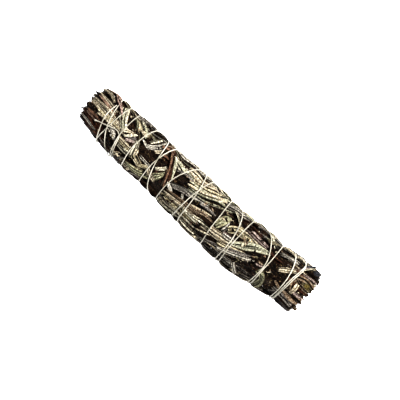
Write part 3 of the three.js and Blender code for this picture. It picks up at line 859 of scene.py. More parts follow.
# Each leaf's seed comes from its place, so that a change to one leaves the others. A
# leaf that is cut at the bundle's end, or broken short, has blunt ends.
for form, tone, width, places, *name in top_leaves:
    cut = places[0][0] < 5 or places[-1][0] > 195
    broken = math.dist(places[0], places[-1]) < 22
    base = 0.75 if cut or broken else 0.35
    tip = 0.6 if cut else 0.4 if broken else 0.08
    lay_leaf(form, over(*places), width, tone, *name, base=base, tip=tip,
             wave=0.3 if width > 3 else 0.15,
             seed=int(abs(places[0][0] * 310 + places[-1][1] * 570)))

# ---- Drawing the pile in ------------------------------------------------------------
# The string pulls the pile in to the bundle's outline: evenly between its turns, and
# down to the string's underside where it passes. The table presses it flat below.
# tops is the pile with narrow gaps bridged, and even_tops the same, smoothed.
pile_level = -0.1  # mm, the pile's even top above the outline
packing = 3.6  # mm, the depth over which the leaves under that top close up
stand_out = 1.1  # mm, the most that a leaf stands out of the outline
softness = 1.0  # mm, over which what stands out closes up
table_press = 1.15  # mm, by which the table drives leaves in
groove = 1.6  # mm, how far beside the string its pull reaches
tops = widened(widened(pile, 3, 0), 3, 1)
even_tops = blur(blur(tops, 12, 0), 10, 1, wrap=True)

# Distance of each place from the string, found within nine cells of its course.
from_string = np.full(pile.shape, 99.0)
window = np.arange(-9, 10)
for s, a in zip(string_station, string_angle):
    i = int(round((s - map_from) / map_step)) + window
    j = int(round(a / (2 * np.pi) * around)) + window
    gap_s = (i * map_step + map_from - s)[:, None]
    gap_a = (j / around * 2 * np.pi - a)[None] * reference_radius
    rows, columns = np.ix_(i, j % around)
    from_string[rows, columns] = np.minimum(
        from_string[rows, columns], np.hypot(gap_s, gap_a))


def underneath(angle):
    """0 above, rising with the angle's cosine from 136 degrees to 1 at 157 degrees."""
    return np.clip((-np.cos(angle) - 0.72) / 0.2, 0, 1)


# How far the leaves may reach past the outline: a bell-shaped groove along the string.
room = stand_out - np.exp(-((from_string / groove) ** 2)) * (
    stand_out + string_depth + string_radius)
room -= table_press * underneath(np.arange(around) / around * 2 * np.pi)[None]


def settled(station, angle, height):
    """Distance from the bundle's middle of a height in the pile, once drawn in.

    Near the pile's top heights are kept; deeper ones close up, more with depth, and
    what stands out closes up towards the room there is, both along exponential
    curves, so no leaf passes through the one above.
    """
    above = height - map_read(even_tops, station, angle)
    deep = -packing * (1 - np.exp(np.minimum(above, 0) / packing))
    out = pile_level + np.where(above > 0, above, deep)
    knee = map_read(room, station, angle) - softness
    past = np.maximum(out - knee, 0)
    out = np.where(out > knee, knee + softness * (1 - np.exp(-past / softness)), out)
    return radius_at(station) + out


# ---- Leaves: the two finishes -------------------------------------------------------
# One side of each leaf is pale felt and the other dark resin. Both patterns follow the
# grain, which runs in mm along and across the leaf, so a scale is how many of its marks
# come to a mm.
net_per_mm = 0.7  # the real net's cells are 0.8 mm, too fine to show; drawn 1.4 mm wide


def read_leaf(tree):
    """The grain, the tint and the height of the ridges that a leaf's mesh carries."""
    grain = node(tree, "ShaderNodeUVMap", {}, uv_map="Grain").outputs["UV"]
    tint = node(tree, "ShaderNodeAttribute", {}, attribute_name="tint").outputs["Color"]
    crest = node(tree, "ShaderNodeAttribute", {}, attribute_name="crest").outputs["Fac"]
    return grain, tint, crest


def vein_net(tree, grain):
    """0 on the veins and 1 in the cells of a net, from the distance to cell borders.

    The grain is first pushed about by up to 2.6 mm of noise, one swing in 2 mm, so the
    cells differ in size and shape.
    """
    stray = node(tree, "ShaderNodeTexNoise", {"Vector": grain, "Scale": 0.45, "Detail": 2.0})
    pushed = node(tree, "ShaderNodeVectorMath",
                  {0: stray.outputs["Color"], 1: (2.6, 2.6, 0), 2: grain},
                  operation="MULTIPLY_ADD")
    net = node(tree, "ShaderNodeTexVoronoi",
               {"Vector": pushed.outputs["Vector"], "Scale": net_per_mm, "Randomness": 1.0},
               feature="DISTANCE_TO_EDGE", voronoi_dimensions="2D")
    return node(tree, "ShaderNodeMapRange",
                {"Value": net.outputs["Distance"], "From Min": 0.03, "From Max": 0.3}).outputs[0]


# Leaf underside: a dried mat of short white hairs. It is dead matt and pale to the eye,
# with a raised net of veins that is darker in its cells, weathered in clouds about 6 mm
# across and blotches about 1 mm, and brown along the margins. Shade is painted deep in
# the folds.
felt_material, tree, shader = new_material("leaf_underside_felt", "#cfc59c", 0.92)
grain, tint, crest = read_leaf(tree)
edge = node(tree, "ShaderNodeAttribute", {}, attribute_name="edge").outputs["Fac"]
cells = vein_net(tree, grain)
cloudy = node(tree, "ShaderNodeTexNoise", {"Vector": grain, "Scale": 0.16, "Detail": 5.0})
blotched = node(tree, "ShaderNodeTexNoise",
                {"Vector": grain, "Scale": 0.95, "Detail": 4.0, "Roughness": 0.7})
# Painted shade in the folds: the lower a point lies between two ridges, the darker, nearly black at
# the bottom of a furrow.
painted_fold_shading = node(tree, "ShaderNodeMapRange",
                {"Value": crest, "From Min": 0.34, "From Max": 0.76,
                 "To Min": 0.02, "To Max": 0.98})
clouds = node(tree, "ShaderNodeMapRange",
              {"Value": cloudy.outputs["Fac"], "From Min": 0.36, "From Max": 0.62,
               "To Min": 0.76, "To Max": 1.22})
blotches = node(tree, "ShaderNodeMapRange",
                {"Value": blotched.outputs["Fac"], "From Min": 0.4, "From Max": 0.54,
                 "To Min": 0.36, "To Max": 1.13})

# Side veins leave the midrib at about 50 degrees, 2.7 mm apart, and wander a little.
place = node(tree, "ShaderNodeSeparateXYZ", {"Vector": grain})
from_rib = node(tree, "ShaderNodeMath", {0: place.outputs["Y"]}, operation="ABSOLUTE")
slanted = node(tree, "ShaderNodeMath",
               {0: from_rib.outputs[0], 1: -0.8, 2: place.outputs["X"]},
               operation="MULTIPLY_ADD")
strayed = node(tree, "ShaderNodeMath",
               {0: cloudy.outputs["Fac"], 1: 9.0, 2: slanted.outputs[0]},
               operation="MULTIPLY_ADD")
spaced = node(tree, "ShaderNodeMath", {0: strayed.outputs[0], 1: 2.3}, operation="MULTIPLY")
waves = node(tree, "ShaderNodeMath", {0: spaced.outputs[0]}, operation="SINE")
side_veins = node(tree, "ShaderNodeMapRange",
                  {"Value": waves.outputs[0], "From Min": -0.8, "From Max": 0.2,
                   "To Min": 0.72, "To Max": 1.02})

light = painted_fold_shading.outputs[0]
for share in (clouds, blotches, side_veins):
    light = node(tree, "ShaderNodeMath", {0: light, 1: share.outputs[0]},
                 operation="MULTIPLY").outputs[0]
shade = node(tree, "ShaderNodeHueSaturation", {"Color": tint, "Saturation": 0.87, "Value": light})
dusk = node(tree, "ShaderNodeHueSaturation",
            {"Color": shade.outputs["Color"], "Hue": 0.487, "Saturation": 1.5, "Value": 0.42})
netted = node(tree, "ShaderNodeMix",
              {0: cells, 6: shade.outputs["Color"], 7: dusk.outputs["Color"]}, data_type="RGBA")
margin = node(tree, "ShaderNodeMapRange",
              {"Value": edge, "From Min": 0.76, "From Max": 1.0, "To Min": 0.0, "To Max": 0.9})
browned = node(tree, "ShaderNodeMix",
               {0: margin.outputs[0], 6: netted.outputs[2], 7: paint("#2a1c14")},
               data_type="RGBA")
tree.links.new(browned.outputs[2], shader.inputs["Base Color"])

# The hairs are finer than 0.1 mm; they are drawn as tufts of 0.4 mm.
hairs = node(tree, "ShaderNodeTexNoise", {"Vector": grain, "Scale": 2.6, "Detail": 3.0})
raised = node(tree, "ShaderNodeMath", {0: cells, 1: -0.7, 2: hairs.outputs["Fac"]},
              operation="MULTIPLY_ADD")
relief = node(tree, "ShaderNodeMath",
              {0: side_veins.outputs[0], 1: 1.2, 2: raised.outputs[0]},
              operation="MULTIPLY_ADD")
bump = node(tree, "ShaderNodeBump",
            {"Height": relief.outputs[0], "Strength": 0.9, "Distance": 0.0005})
tree.links.new(bump.outputs["Normal"], shader.inputs["Normal"])

# Leaf upper side: a leathery skin under a varnish of dried resin. It is almost black to
# the eye and shines faintly in patches of about 3 mm. Crumbs and scraps of felt about
# 1 mm across stick to it, and the net of veins is sunk into it. Shade is painted into
# its folds and light onto its ridges.
resin_material, tree, shader = new_material("leaf_upper_side_resin", "#2a1f17", 0.5)
grain, tint, crest = read_leaf(tree)
patchy = node(tree, "ShaderNodeTexNoise",
              {"Vector": grain, "Scale": 0.3, "Detail": 6.0, "Roughness": 0.75})
patches = node(tree, "ShaderNodeMapRange",
               {"Value": patchy.outputs["Fac"], "From Min": 0.38, "From Max": 0.62,
                "To Min": 0.2, "To Max": 1.5})
# Painted shade in the folds and painted light on the ridges, by the height between furrows.
painted_fold_shading = node(tree, "ShaderNodeMapRange",
                {"Value": crest, "From Min": 0.1, "From Max": 0.8, "To Min": 0.1, "To Max": 1.3})
light = node(tree, "ShaderNodeMath", {0: patches.outputs[0], 1: painted_fold_shading.outputs[0]},
             operation="MULTIPLY")
shade = node(tree, "ShaderNodeHueSaturation",
             {"Color": tint, "Saturation": 1.12, "Value": light.outputs[0]})
specks = node(tree, "ShaderNodeTexNoise",
              {"Vector": grain, "Scale": 0.8, "Detail": 4.0, "Roughness": 0.75})
crumbs = node(tree, "ShaderNodeMapRange",
              {"Value": specks.outputs["Fac"], "From Min": 0.53, "From Max": 0.6,
               "To Min": 0.0, "To Max": 0.6})
crumbly = node(tree, "ShaderNodeMix",
               {0: crumbs.outputs[0], 6: shade.outputs["Color"], 7: paint("#2e2016")},
               data_type="RGBA")
scraps = node(tree, "ShaderNodeTexNoise",
              {"Vector": grain, "Scale": 0.9, "Detail": 3.0, "Roughness": 0.7,
               "Distortion": 0.6})
stuck = node(tree, "ShaderNodeMapRange",
             {"Value": scraps.outputs["Fac"], "From Min": 0.62, "From Max": 0.68,
              "To Min": 0.0, "To Max": 0.8})
dusted = node(tree, "ShaderNodeMix",
              {0: stuck.outputs[0], 6: crumbly.outputs[2], 7: paint("#857456")},
              data_type="RGBA")
tree.links.new(dusted.outputs[2], shader.inputs["Base Color"])
shine = node(tree, "ShaderNodeMapRange",
             {"Value": patchy.outputs["Fac"], "From Min": 0.3, "From Max": 0.7,
              "To Min": 0.75, "To Max": 0.45})
tree.links.new(shine.outputs[0], shader.inputs["Roughness"])
relief = node(tree, "ShaderNodeMath",
              {0: vein_net(tree, grain), 1: 0.6, 2: specks.outputs["Fac"]},
              operation="MULTIPLY_ADD")
bump = node(tree, "ShaderNodeBump",
            {"Height": relief.outputs[0], "Strength": 0.9, "Distance": 0.0006})
tree.links.new(bump.outputs["Normal"], shader.inputs["Normal"])


# ---- Leaves: the pieces -------------------------------------------------------------
# A leaf is one closed sheet: its outer face, its inner face and the rims between. The
# large leaves are a piece each; the many small ones between them are kept together, by
# where they lie and by the side that shows.
def sheet_of(leaf):
    """Points, faces, face sides, grain, edge, crest and bake places of one laid leaf.

    The two faces are joined into one loop round each section, loops are joined row by
    row, and each end is closed by faces across its loop.
    """
    (s1, a1, h1), (s2, a2, h2) = leaf["shells"]
    s = np.concatenate([s1, s2[:, ::-1]], axis=1)
    a = np.concatenate([a1, a2[:, ::-1]], axis=1)
    h = np.concatenate([h1, h2[:, ::-1]], axis=1)
    distance = h if leaf.get("fixed") else settled(s, a, h)
    p = (bundle_point(s, a, distance) / 1000).reshape(-1, 3)
    rows, n, loop = leaf["rows"], leaf["count"], 2 * leaf["count"]
    i, j = np.meshgrid(np.arange(rows - 1), np.arange(loop), indexing="ij")
    near, far = i * loop + j, i * loop + (j + 1) % loop
    quads = np.stack([near, far, far + loop, near + loop], axis=-1).reshape(-1, 4)
    outer = (j < n - 1).reshape(-1)
    c = np.arange(n - 1)
    end = (rows - 1) * loop
    first = np.stack([c, loop - 1 - c, loop - 2 - c, c + 1], axis=-1)
    last = np.stack([end + c, end + c + 1, end + loop - 2 - c, end + loop - 1 - c], axis=-1)
    quads = np.concatenate([quads, first, last])
    outer = np.concatenate([outer, np.zeros(2 * (n - 1), bool)])

    # Bake places from 0 to 1: u by row, v round the loop, and the end faces in a narrow
    # strip past the last row.
    u = np.stack([i, i, i + 1, i + 1], axis=-1).reshape(-1, 4) / rows
    v = np.stack([j, j + 1, j + 1, j], axis=-1).reshape(-1, 4) / loop
    cap_u = np.tile(np.array([[0, 0, 1, 1]]), (n - 1, 1)) * 0.3 / rows + (rows - 0.8) / rows
    cap_v = np.stack([c, c + 0.9, c + 0.9, c], axis=-1) / loop
    u = np.concatenate([u, cap_u, cap_u])
    v = np.concatenate([v, cap_v, cap_v + 0.5])

    # Faces are turned round where they enclose a negative volume.
    corners = p[quads]
    volume = np.einsum("ij,ij->i", corners[:, 0], np.cross(corners[:, 1], corners[:, 2])).sum()
    volume += np.einsum("ij,ij->i", corners[:, 0], np.cross(corners[:, 2], corners[:, 3])).sum()
    if volume < 0:
        quads, u, v = quads[:, ::-1], u[:, ::-1], v[:, ::-1]

    along = np.repeat(leaf["along"][:, None], loop, axis=1)
    across = np.concatenate([leaf["across"], leaf["across"][:, ::-1]], axis=1)
    grain = np.stack([along, across], axis=-1).reshape(-1, 2)
    edge = np.concatenate([leaf["edge"], leaf["edge"][::-1]])
    edge = np.repeat(np.abs(edge)[None], rows, axis=0).reshape(-1)
    crest = np.concatenate([leaf["crest"], leaf["crest"][:, ::-1]], axis=1).reshape(-1)
    return p, quads, outer, grain, edge, crest, u, v


def leaf_piece(name, leaves):
    """One mesh object of one or more laid leaves, with its maps and its materials.

    Each leaf's grain starts elsewhere in the patterns, so that no two look alike, and
    each has a band of its own in the bake map.
    """
    points, quads, index, grains, edges, crests, bakes, tints = ([] for _ in range(8))
    at = 0
    for row, leaf in enumerate(leaves):
        p, faces, outer, grain, edge, crest, u, v = sheet_of(leaf)
        felted = leaf["tone"] in felt_colours
        out_tint = paint((felt_colours if felted else resin_colours)[leaf["tone"]])
        in_tint = paint(resin_colours["dark"] if felted else felt_colours["dull"])
        tint = np.empty((leaf["rows"], 2 * leaf["count"], 4))
        tint[:, : leaf["count"]], tint[:, leaf["count"] :] = out_tint, in_tint
        band = (row + 0.03 + 0.94 * v) / len(leaves)
        points.append(p)
        quads.append(faces + at)
        index.append(np.where(outer == felted, 0, 1))
        grains.append(grain + row * 37.0 + 3.1 * leaf["shells"][0][0][0, 0])
        edges.append(edge)
        crests.append(crest)
        bakes.append(np.stack([0.01 + 0.98 * u, band], axis=-1).reshape(-1, 2))
        tints.append(tint.reshape(-1, 4))
        at += len(p)
    points, quads = np.concatenate(points), np.concatenate(quads)
    mesh = bpy.data.meshes.new(name)
    mesh.from_pydata(points.tolist(), [], quads.tolist())
    mesh.materials.append(felt_material)
    mesh.materials.append(resin_material)
    mesh.polygons.foreach_set("material_index", np.concatenate(index).astype(np.int32))
    mesh.polygons.foreach_set("use_smooth", np.ones(len(quads), bool))
    grain_map = mesh.uv_layers.new(name="Grain")
    grain_map.data.foreach_set("uv", np.concatenate(grains)[quads.reshape(-1)].reshape(-1))
    bake_map = mesh.uv_layers.new(name="OFBake")
    bake_map.data.foreach_set("uv", np.concatenate(bakes).reshape(-1))
    tint_map = mesh.color_attributes.new("tint", "FLOAT_COLOR", "POINT")
    tint_map.data.foreach_set("color", np.concatenate(tints).reshape(-1))
    for key, values in (("edge", edges), ("crest", crests)):
        kept = mesh.attributes.new(key, "FLOAT", "POINT")
        kept.data.foreach_set("value", np.concatenate(values).astype(np.float32))
    made = bpy.data.objects.new(name, mesh)
    bpy.context.collection.objects.link(made)
    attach(made, "root")
    return made


small = {}
for leaf in laid:
    felted = leaf["tone"] in felt_colours
    if leaf["name"]:
        made = leaf_piece("dry_" + leaf["name"], [leaf])
        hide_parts(leaf["name"])
    else:
        s, a, _ = leaf["shells"][0]
        third = int(np.clip(s.mean() // 67, 0, 2))
        on_top = int(np.cos(a.mean()) > 0)
        small.setdefault((third, on_top, felted), []).append(leaf)
for (third, on_top, felted), leaves in sorted(small.items()):
    shade_name, side_name = "pale" if felted else "dark", "top" if on_top else "under"
    made = leaf_piece(f"small_{shade_name}_leaves_{side_name}_{third + 1}", leaves)

# ---- Crumbs -------------------------------------------------------------------------
# Broken bits of leaf, 1 to 3 mm, are caught in the hollows between the leaves. Each is
# a flat six-cornered flake that lies tilted on the pile.
flake_corners = np.array([(-1, -0.6), (0, -1), (1, -0.5), (0.8, 0.7), (-0.1, 1), (-0.9, 0.5)])
flake_thickness = 0.35  # mm
rng = np.random.default_rng(77)
number = 1500
at_s = rng.uniform(3, 196, number)
at_a = rng.uniform(0, 2 * np.pi, number)
sunk = map_read(even_tops, at_s, at_a) - map_read(pile, at_s, at_a)
kept = (sunk > rng.uniform(0.6, 3.2, number)) & (underneath(at_a) == 0)
at_s, at_a = at_s[kept], at_a[kept]
number = len(at_s)
size = rng.uniform(0.35, 1.1, (number, 1, 1)) * rng.uniform(0.6, 1.4, (number, 6, 1))
turn = rng.uniform(0, 2 * np.pi, (number, 1))
flat = flake_corners[None] * size * [1.5, 0.7]
ds = flat[..., 0] * np.cos(turn) - flat[..., 1] * np.sin(turn)
da = (flat[..., 0] * np.sin(turn) + flat[..., 1] * np.cos(turn)) / reference_radius
s, a = at_s[:, None] + ds, at_a[:, None] + da
ground = map_read(pile, at_s, at_a)[:, None]
tilt = rng.uniform(-0.5, 0.5, (number, 1)) * flat[..., 0] + rng.uniform(0, 0.35, (number, 6))
low = settled(s, a, ground + 0.05) + 0.15 + np.maximum(tilt, -0.1)
p = np.concatenate([bundle_point(s, a, low), bundle_point(s, a, low + flake_thickness)], axis=1)
p = p.reshape(-1, 3) / 1000
k = np.arange(6)
rim = np.stack([k, (k + 1) % 6, (k + 1) % 6 + 6, k + 6], axis=1)
lids = np.array([(0, 3, 2, 1), (0, 5, 4, 3), (6, 7, 8, 9), (6, 9, 10, 11)])
first_point = np.arange(number)[:, None, None] * 12
quads = (first_point + np.concatenate([rim, lids])[None]).reshape(-1, 4)
mesh = bpy.data.meshes.new("leaf_crumbs")
mesh.from_pydata(p.tolist(), [], quads.tolist())
grain = np.stack([s, a * reference_radius], -1).repeat(2, axis=1).reshape(-1, 2)
mesh.uv_layers.new(name="Grain").data.foreach_set("uv", grain[quads.reshape(-1)].reshape(-1))
flake_tints = np.array(
    [paint(felt_colours[name]) for name in ("sand", "olive", "tan")]
    + [paint(resin_colours[name]) for name in ("rust", "red", "brown", "umber", "dark")])
tint = np.repeat(flake_tints[rng.integers(0, 8, number)], 12, axis=0)
tint_map = mesh.color_attributes.new("tint", "FLOAT_COLOR", "POINT")
tint_map.data.foreach_set("color", tint.reshape(-1))
for key, value in (("crest", 0.7), ("edge", 0.3)):
    even = mesh.attributes.new(key, "FLOAT", "POINT")
    even.data.foreach_set("value", np.full(12 * number, value))
mesh.materials.append(felt_material)
made = bpy.data.objects.new("leaf_crumbs", mesh)
bpy.context.collection.objects.link(made)
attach(made, "root")


# ---- Core: inner leaves and leaf ends -----------------------------------------------
# Round the stems lie scrolled leaves. At both ends the cut and broken scrolls of more
# leaves fill the bundle, in three rings.
def core_distance(station, nominal):
    """Distance from the middle, drawn in evenly where the bundle is thinner.

    It is the nominal one where the bundle's radius is 17.5 mm, and shrinks in the share
    that the radius less 7 mm does.
    """
    return nominal * (radius_at(station) - 7.0) / 10.5


def core_leaf(name, form, start, end, angle, nominal, width, tall, tone, seed):
    """A leaf that runs straight along inside the pile at a nominal distance.

    Its section, made as tall as asked either way, swells along a sine and wanders
    sideways. Its ends are ragged: each point's station is shifted more, the nearer it
    is to an end.
    """
    rng = np.random.default_rng(seed)
    section, count, outer = sections[form]
    rows = max(int((end - start) / 3), 5)
    t = np.linspace(0, 1, rows)[:, None]
    q = np.linspace(-1, 1, count)
    x, y = section(q, width / 2)
    wander = blur(rng.normal(0, 1, (rows, 1)), 3, 0) * 1.2
    half = width / 2 * (0.82 + 0.18 * np.sin(t * 9 + seed))
    crinkle = blur(rng.normal(0, 1, (rows, count)), 1.4, 0) * 0.12
    across = half * x[None] + wander
    y = (y - y.mean()) / np.ptp(y)
    up = tall * y[None] + crinkle
    ragged = 1.6 * blur(rng.normal(0, 1, count), 1.5, 0)
    station = start + (end - start) * t + ragged[None] * (np.abs(t - 0.5) * 2) ** 8
    dx, dy = section_heading(across, up)
    shells = []
    for sign in (1, -1):
        shift = outer * sign * blade_thickness / 2
        h = nominal + up + dx * shift
        a = angle + (across - dy * shift) / nominal
        shells.append((station, a, core_distance(station, h)))
    return dict(
        name=name, tone=tone, rows=rows, count=count, shells=shells, fixed=True, edge=q,
        crest=np.full((rows, count), 0.6), along=t[:, 0] * (end - start),
        across=q[None] * half * 2,
    )


for i in range(5):
    start = 48 - i if i % 2 else 5 + i
    name = f"leaf_{48 + i}"
    tone = ["umber", "dark", "brown", "umber", "dark"][i]
    leaf = core_leaf(name, "scroll", start, start + 146, math.radians(72 * i + 20), 7.9,
                     6.4, 3.0, tone, 600 + i)
    made = leaf_piece("dry_" + name, [leaf])
    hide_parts(name)

end_tones = ["umber", "brown", "dark", "sand", "tan", "olive", "dull", "brown"]
rng = np.random.default_rng(5)
for end_name, from_left in (("left", True), ("right", False)):
    scrolls = []
    for nominal, number in ((7.8, 14), (10.6, 19), (13.6, 24)):
        for i in range(number):
            a = (i + rng.uniform(-0.2, 0.2)) / number * 2 * np.pi
            reach = rng.uniform(0, 5) if from_left else 200 - rng.uniform(0, 3.4)
            inward = rng.uniform(14, 26)
            start, end = (reach, reach + inward) if from_left else (reach - inward, reach)
            tone = str(rng.choice(end_tones))
            form = rng.choice(["scroll", "rolled", "folded"])
            width, tall = rng.uniform(2.9, 3.9), rng.uniform(2.0, 2.9)
            scrolls.append(core_leaf(None, form, start, end, a, nominal, width, tall, tone,
                                     int(rng.integers(9999))))
    made = leaf_piece(f"broken_leaf_ends_{end_name}", scrolls)


# ---- Stems --------------------------------------------------------------------------
# Seven thin woody stems run through the middle, with ridged bark, and are cut off at
# both ends, where the pale wood shows.
def tube_mesh(name, line, radius, sides, up):
    """A profile carried along a line of points, with flat capped ends.

    Each ring stands square to the line and turns from up, at the radius given for each
    of its sides. The grain is mm along the line, and the share of a turn round it.
    """
    line = np.asarray(line, float)
    ahead = np.gradient(line, axis=0)
    ahead /= np.linalg.norm(ahead, axis=1, keepdims=True)
    up = np.asarray(up, float)
    up = up - (up * ahead).sum(1, keepdims=True) * ahead
    up /= np.linalg.norm(up, axis=1, keepdims=True)
    side = np.cross(ahead, up)
    turn = np.arange(sides) / sides * 2 * np.pi
    ring = (radius * np.cos(turn))[..., None] * up[:, None] \
        + (radius * np.sin(turn))[..., None] * side[:, None]
    p = (line[:, None] + ring).reshape(-1, 3)
    i, j = np.meshgrid(np.arange(len(line) - 1), np.arange(sides), indexing="ij")
    near, far = i * sides + j, i * sides + (j + 1) % sides
    quads = np.stack([near, far, far + sides, near + sides], -1)
    faces = quads.reshape(-1, 4).tolist()
    faces.append(list(range(sides))[::-1])
    faces.append([(len(line) - 1) * sides + k for k in range(sides)])
    mesh = bpy.data.meshes.new(name)
    mesh.from_pydata(p.tolist(), [], faces)
    mesh.polygons.foreach_set("use_smooth", np.r_[np.ones(len(faces) - 2, bool), False, False])
    run = np.concatenate([[0], np.cumsum(np.linalg.norm(np.diff(line, axis=0), axis=1))]) * 1000
    grain = np.zeros((quads.size + 2 * sides, 2))
    u = np.stack([run[i], run[i], run[i + 1], run[i + 1]], -1).reshape(-1)
    v = np.stack([j, j + 1, j + 1, j], -1).reshape(-1) / sides
    grain[: len(u)] = np.stack([u, v], 1)
    mesh.uv_layers.new(name="Grain").data.foreach_set("uv", grain.reshape(-1))
    made = bpy.data.objects.new(name, mesh)
    bpy.context.collection.objects.link(made)
    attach(made, "root")
    return made


# Dry twig bark: matt, brown, with pale and dark streaks along it. The real ridges are
# about 0.3 mm wide; they are drawn 1.1 mm wide and 8 mm long, so that they show.
bark_material, tree, shader = new_material("dry_stem_bark", "#8a6a52", 0.8)
place = node(tree, "ShaderNodeTexCoord", {}).outputs["Object"]
fine = node(tree, "ShaderNodeMapping", {"Vector": place, "Scale": (120, 900, 900)})
streaks = node(tree, "ShaderNodeTexNoise",
               {"Vector": fine.outputs["Vector"], "Scale": 1.0, "Detail": 5.0})
ramp = node(tree, "ShaderNodeValToRGB", {"Fac": streaks.outputs["Fac"]},
            stops=[(0.35, "#4b3426"), (0.68, "#a98a6c")])
tree.links.new(ramp.outputs["Color"], shader.inputs["Base Color"])
bump = node(tree, "ShaderNodeBump",
            {"Height": streaks.outputs["Fac"], "Strength": 0.6, "Distance": 0.0003})
tree.links.new(bump.outputs["Normal"], shader.inputs["Normal"])

# Cut wood: knife-cut end grain, weathered. Dull pale brown with dark pores, which are
# really about 0.1 mm and are drawn as specks of 0.7 mm.
cut_material, tree, shader = new_material("cut_stem_wood", "#c7a981", 0.85)
place = node(tree, "ShaderNodeTexCoord", {}).outputs["Object"]
specks = node(tree, "ShaderNodeTexNoise", {"Vector": place, "Scale": 1500.0, "Detail": 3.0})
ramp = node(tree, "ShaderNodeValToRGB", {"Fac": specks.outputs["Fac"]},
            stops=[(0.4, "#4a3726"), (0.6, "#9a8060")])
tree.links.new(ramp.outputs["Color"], shader.inputs["Base Color"])

stems = [  # (from station, to station, distance from the middle, angle in degrees)
    (4, 196, 0.0, 0), (1.5, 197, 3.95, 0), (6, 192, 3.95, 60), (3, 198, 3.95, 120),
    (5, 194, 3.95, 180), (2, 196, 3.95, 240), (7, 193, 3.95, 300),
]
stem_radius = 1.72  # mm
stem_points, stem_sides = 70, 14
for k, (start, end, ring, angle) in enumerate(stems):
    rng = np.random.default_rng(50 + k)
    s = np.linspace(start, end, stem_points)
    t = (s - start) / (end - start)
    turn = np.radians(angle + 25 * np.sin(np.pi * t))
    line = bundle_point(s, turn, core_distance(s, ring)) / 1000
    thick = core_distance(s, stem_radius) * (0.9 + 0.1 * np.sin(t * 40 + k) ** 8)
    round_it = np.arange(stem_sides) / stem_sides * 2 * np.pi
    ridge = 1 + 0.07 * np.sin(round_it * 5 + k)[None] \
        + blur(rng.normal(0, 1, (stem_points, stem_sides)), 2, 0) * 0.05
    made = tube_mesh(f"woody_stem_{k + 1:02d}", line,
                     thick[:, None] / 1000 * np.minimum(ridge, 1.08), stem_sides, [[0.0, 0.0, 1.0]])
    made.data.materials.append(bark_material)
    made.data.materials.append(cut_material)
    made.data.polygons[-1].material_index = 1
    made.data.polygons[-2].material_index = 1
    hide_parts(f"stem_{k + 1:02d}")

# ---- Stalks -------------------------------------------------------------------------
# Three thin dry flower stalks, caught on the outside when the bundle was tied: two
# brownish grey ones at the left end and a black one at the right. Their bark is matt
# and rough, marked pale and dark every 1.4 mm or so.
split_radius = 17  # mm, at which a stalk's angles are unrolled to split it evenly
stalks = [  # radius, (station, angle in degrees, mm outside the outline), dark, light
    (0.5, [(11.5, 68, 0.9), (15, 50, 1.0), (19, 40, 1.0), (23.5, 28, 0.6)], "#3f332f", "#85746b"),
    (0.4, [(14, 66, 0.6), (17, 54, 0.7), (22.5, 33, 0.5)], "#3f332f", "#85746b"),
    (0.75, [(186, 62, -1.0), (188.5, 66, 0.6), (191.2, 70, 2.2)], "#0f0f11", "#34353a"),
]
for k, (thick, places, low, high) in enumerate(stalks):
    stalk_material, tree, shader = new_material(f"flower_stalk_bark_{k + 1}", high, 0.85)
    place = node(tree, "ShaderNodeTexCoord", {}).outputs["Object"]
    marks = node(tree, "ShaderNodeTexNoise", {"Vector": place, "Scale": 700.0, "Detail": 4.0})
    ramp = node(tree, "ShaderNodeValToRGB", {"Fac": marks.outputs["Fac"]},
                stops=[(0.38, low), (0.6, high)])
    tree.links.new(ramp.outputs["Color"], shader.inputs["Base Color"])
    unrolled = [(s, math.radians(a) * split_radius, out) for s, a, out in places]
    s, a, out = evenly(through_points(unrolled, 12), 0.8).T
    a = a / split_radius
    line = bundle_point(s, a, radius_at(s) + out) / 1000
    rng = np.random.default_rng(90 + k)
    rough = 1 + 0.12 * blur(rng.normal(0, 1, (len(s), 8)), 1.2, 0)
    made = tube_mesh(f"flower_stalk_{k + 1}", line, thick / 1000 * rough, 8, [[0.0, 0.0, 1.0]])
    made.data.materials.append(stalk_material)

# ---- Buds ---------------------------------------------------------------------------
# Two dried flower buds caught at the right end, one black and one olive: oval heads of
# dry scales, matt, drawn into seven wrinkles and mottled by scales of about 1 mm.
buds = [  # station, angle in degrees, mm outside the outline, radius, dark, light
    (194.6, 63, -0.2, 2.7, "#101012", "#2e2f33"),
    (195.0, 14, -1.3, 2.4, "#1f1a0f", "#4f4628"),
]
bud_sides = 20
for k, (station, angle, out, size, low, high) in enumerate(buds):
    t = np.linspace(0.02, 0.98, 15)
    s = station + (t - 0.5) * (size * 2.2)
    a = np.full(len(t), math.radians(angle))
    line = bundle_point(s, a, radius_at(s) + out) / 1000
    turn = np.arange(bud_sides) / bud_sides * 2 * np.pi
    wrinkle = 1 + 0.12 * np.sin(7 * turn[None] + 5 * np.sin(6 * t[:, None]) + k)
    profile = size * np.sin(np.pi * t)[:, None] ** 0.6 * wrinkle
    made = tube_mesh(f"dry_bud_{k + 1}", line, profile / 1000, bud_sides, [[0.0, 0.0, 1.0]])
    bud_material, tree, shader = new_material(f"bud_scales_{k + 1}", high, 0.85)
    place = node(tree, "ShaderNodeTexCoord", {}).outputs["Object"]
    scales = node(tree, "ShaderNodeTexNoise", {"Vector": place, "Scale": 900.0, "Detail": 3.0})
    ramp = node(tree, "ShaderNodeValToRGB", {"Fac": scales.outputs["Fac"]},
                stops=[(0.4, low), (0.62, high)])
    tree.links.new(ramp.outputs["Color"], shader.inputs["Base Color"])
    bump = node(tree, "ShaderNodeBump",
                {"Height": scales.outputs["Fac"], "Strength": 0.8, "Distance": 0.0006})
    tree.links.new(bump.outputs["Normal"], shader.inputs["Normal"])
    made.data.materials.append(bud_material)

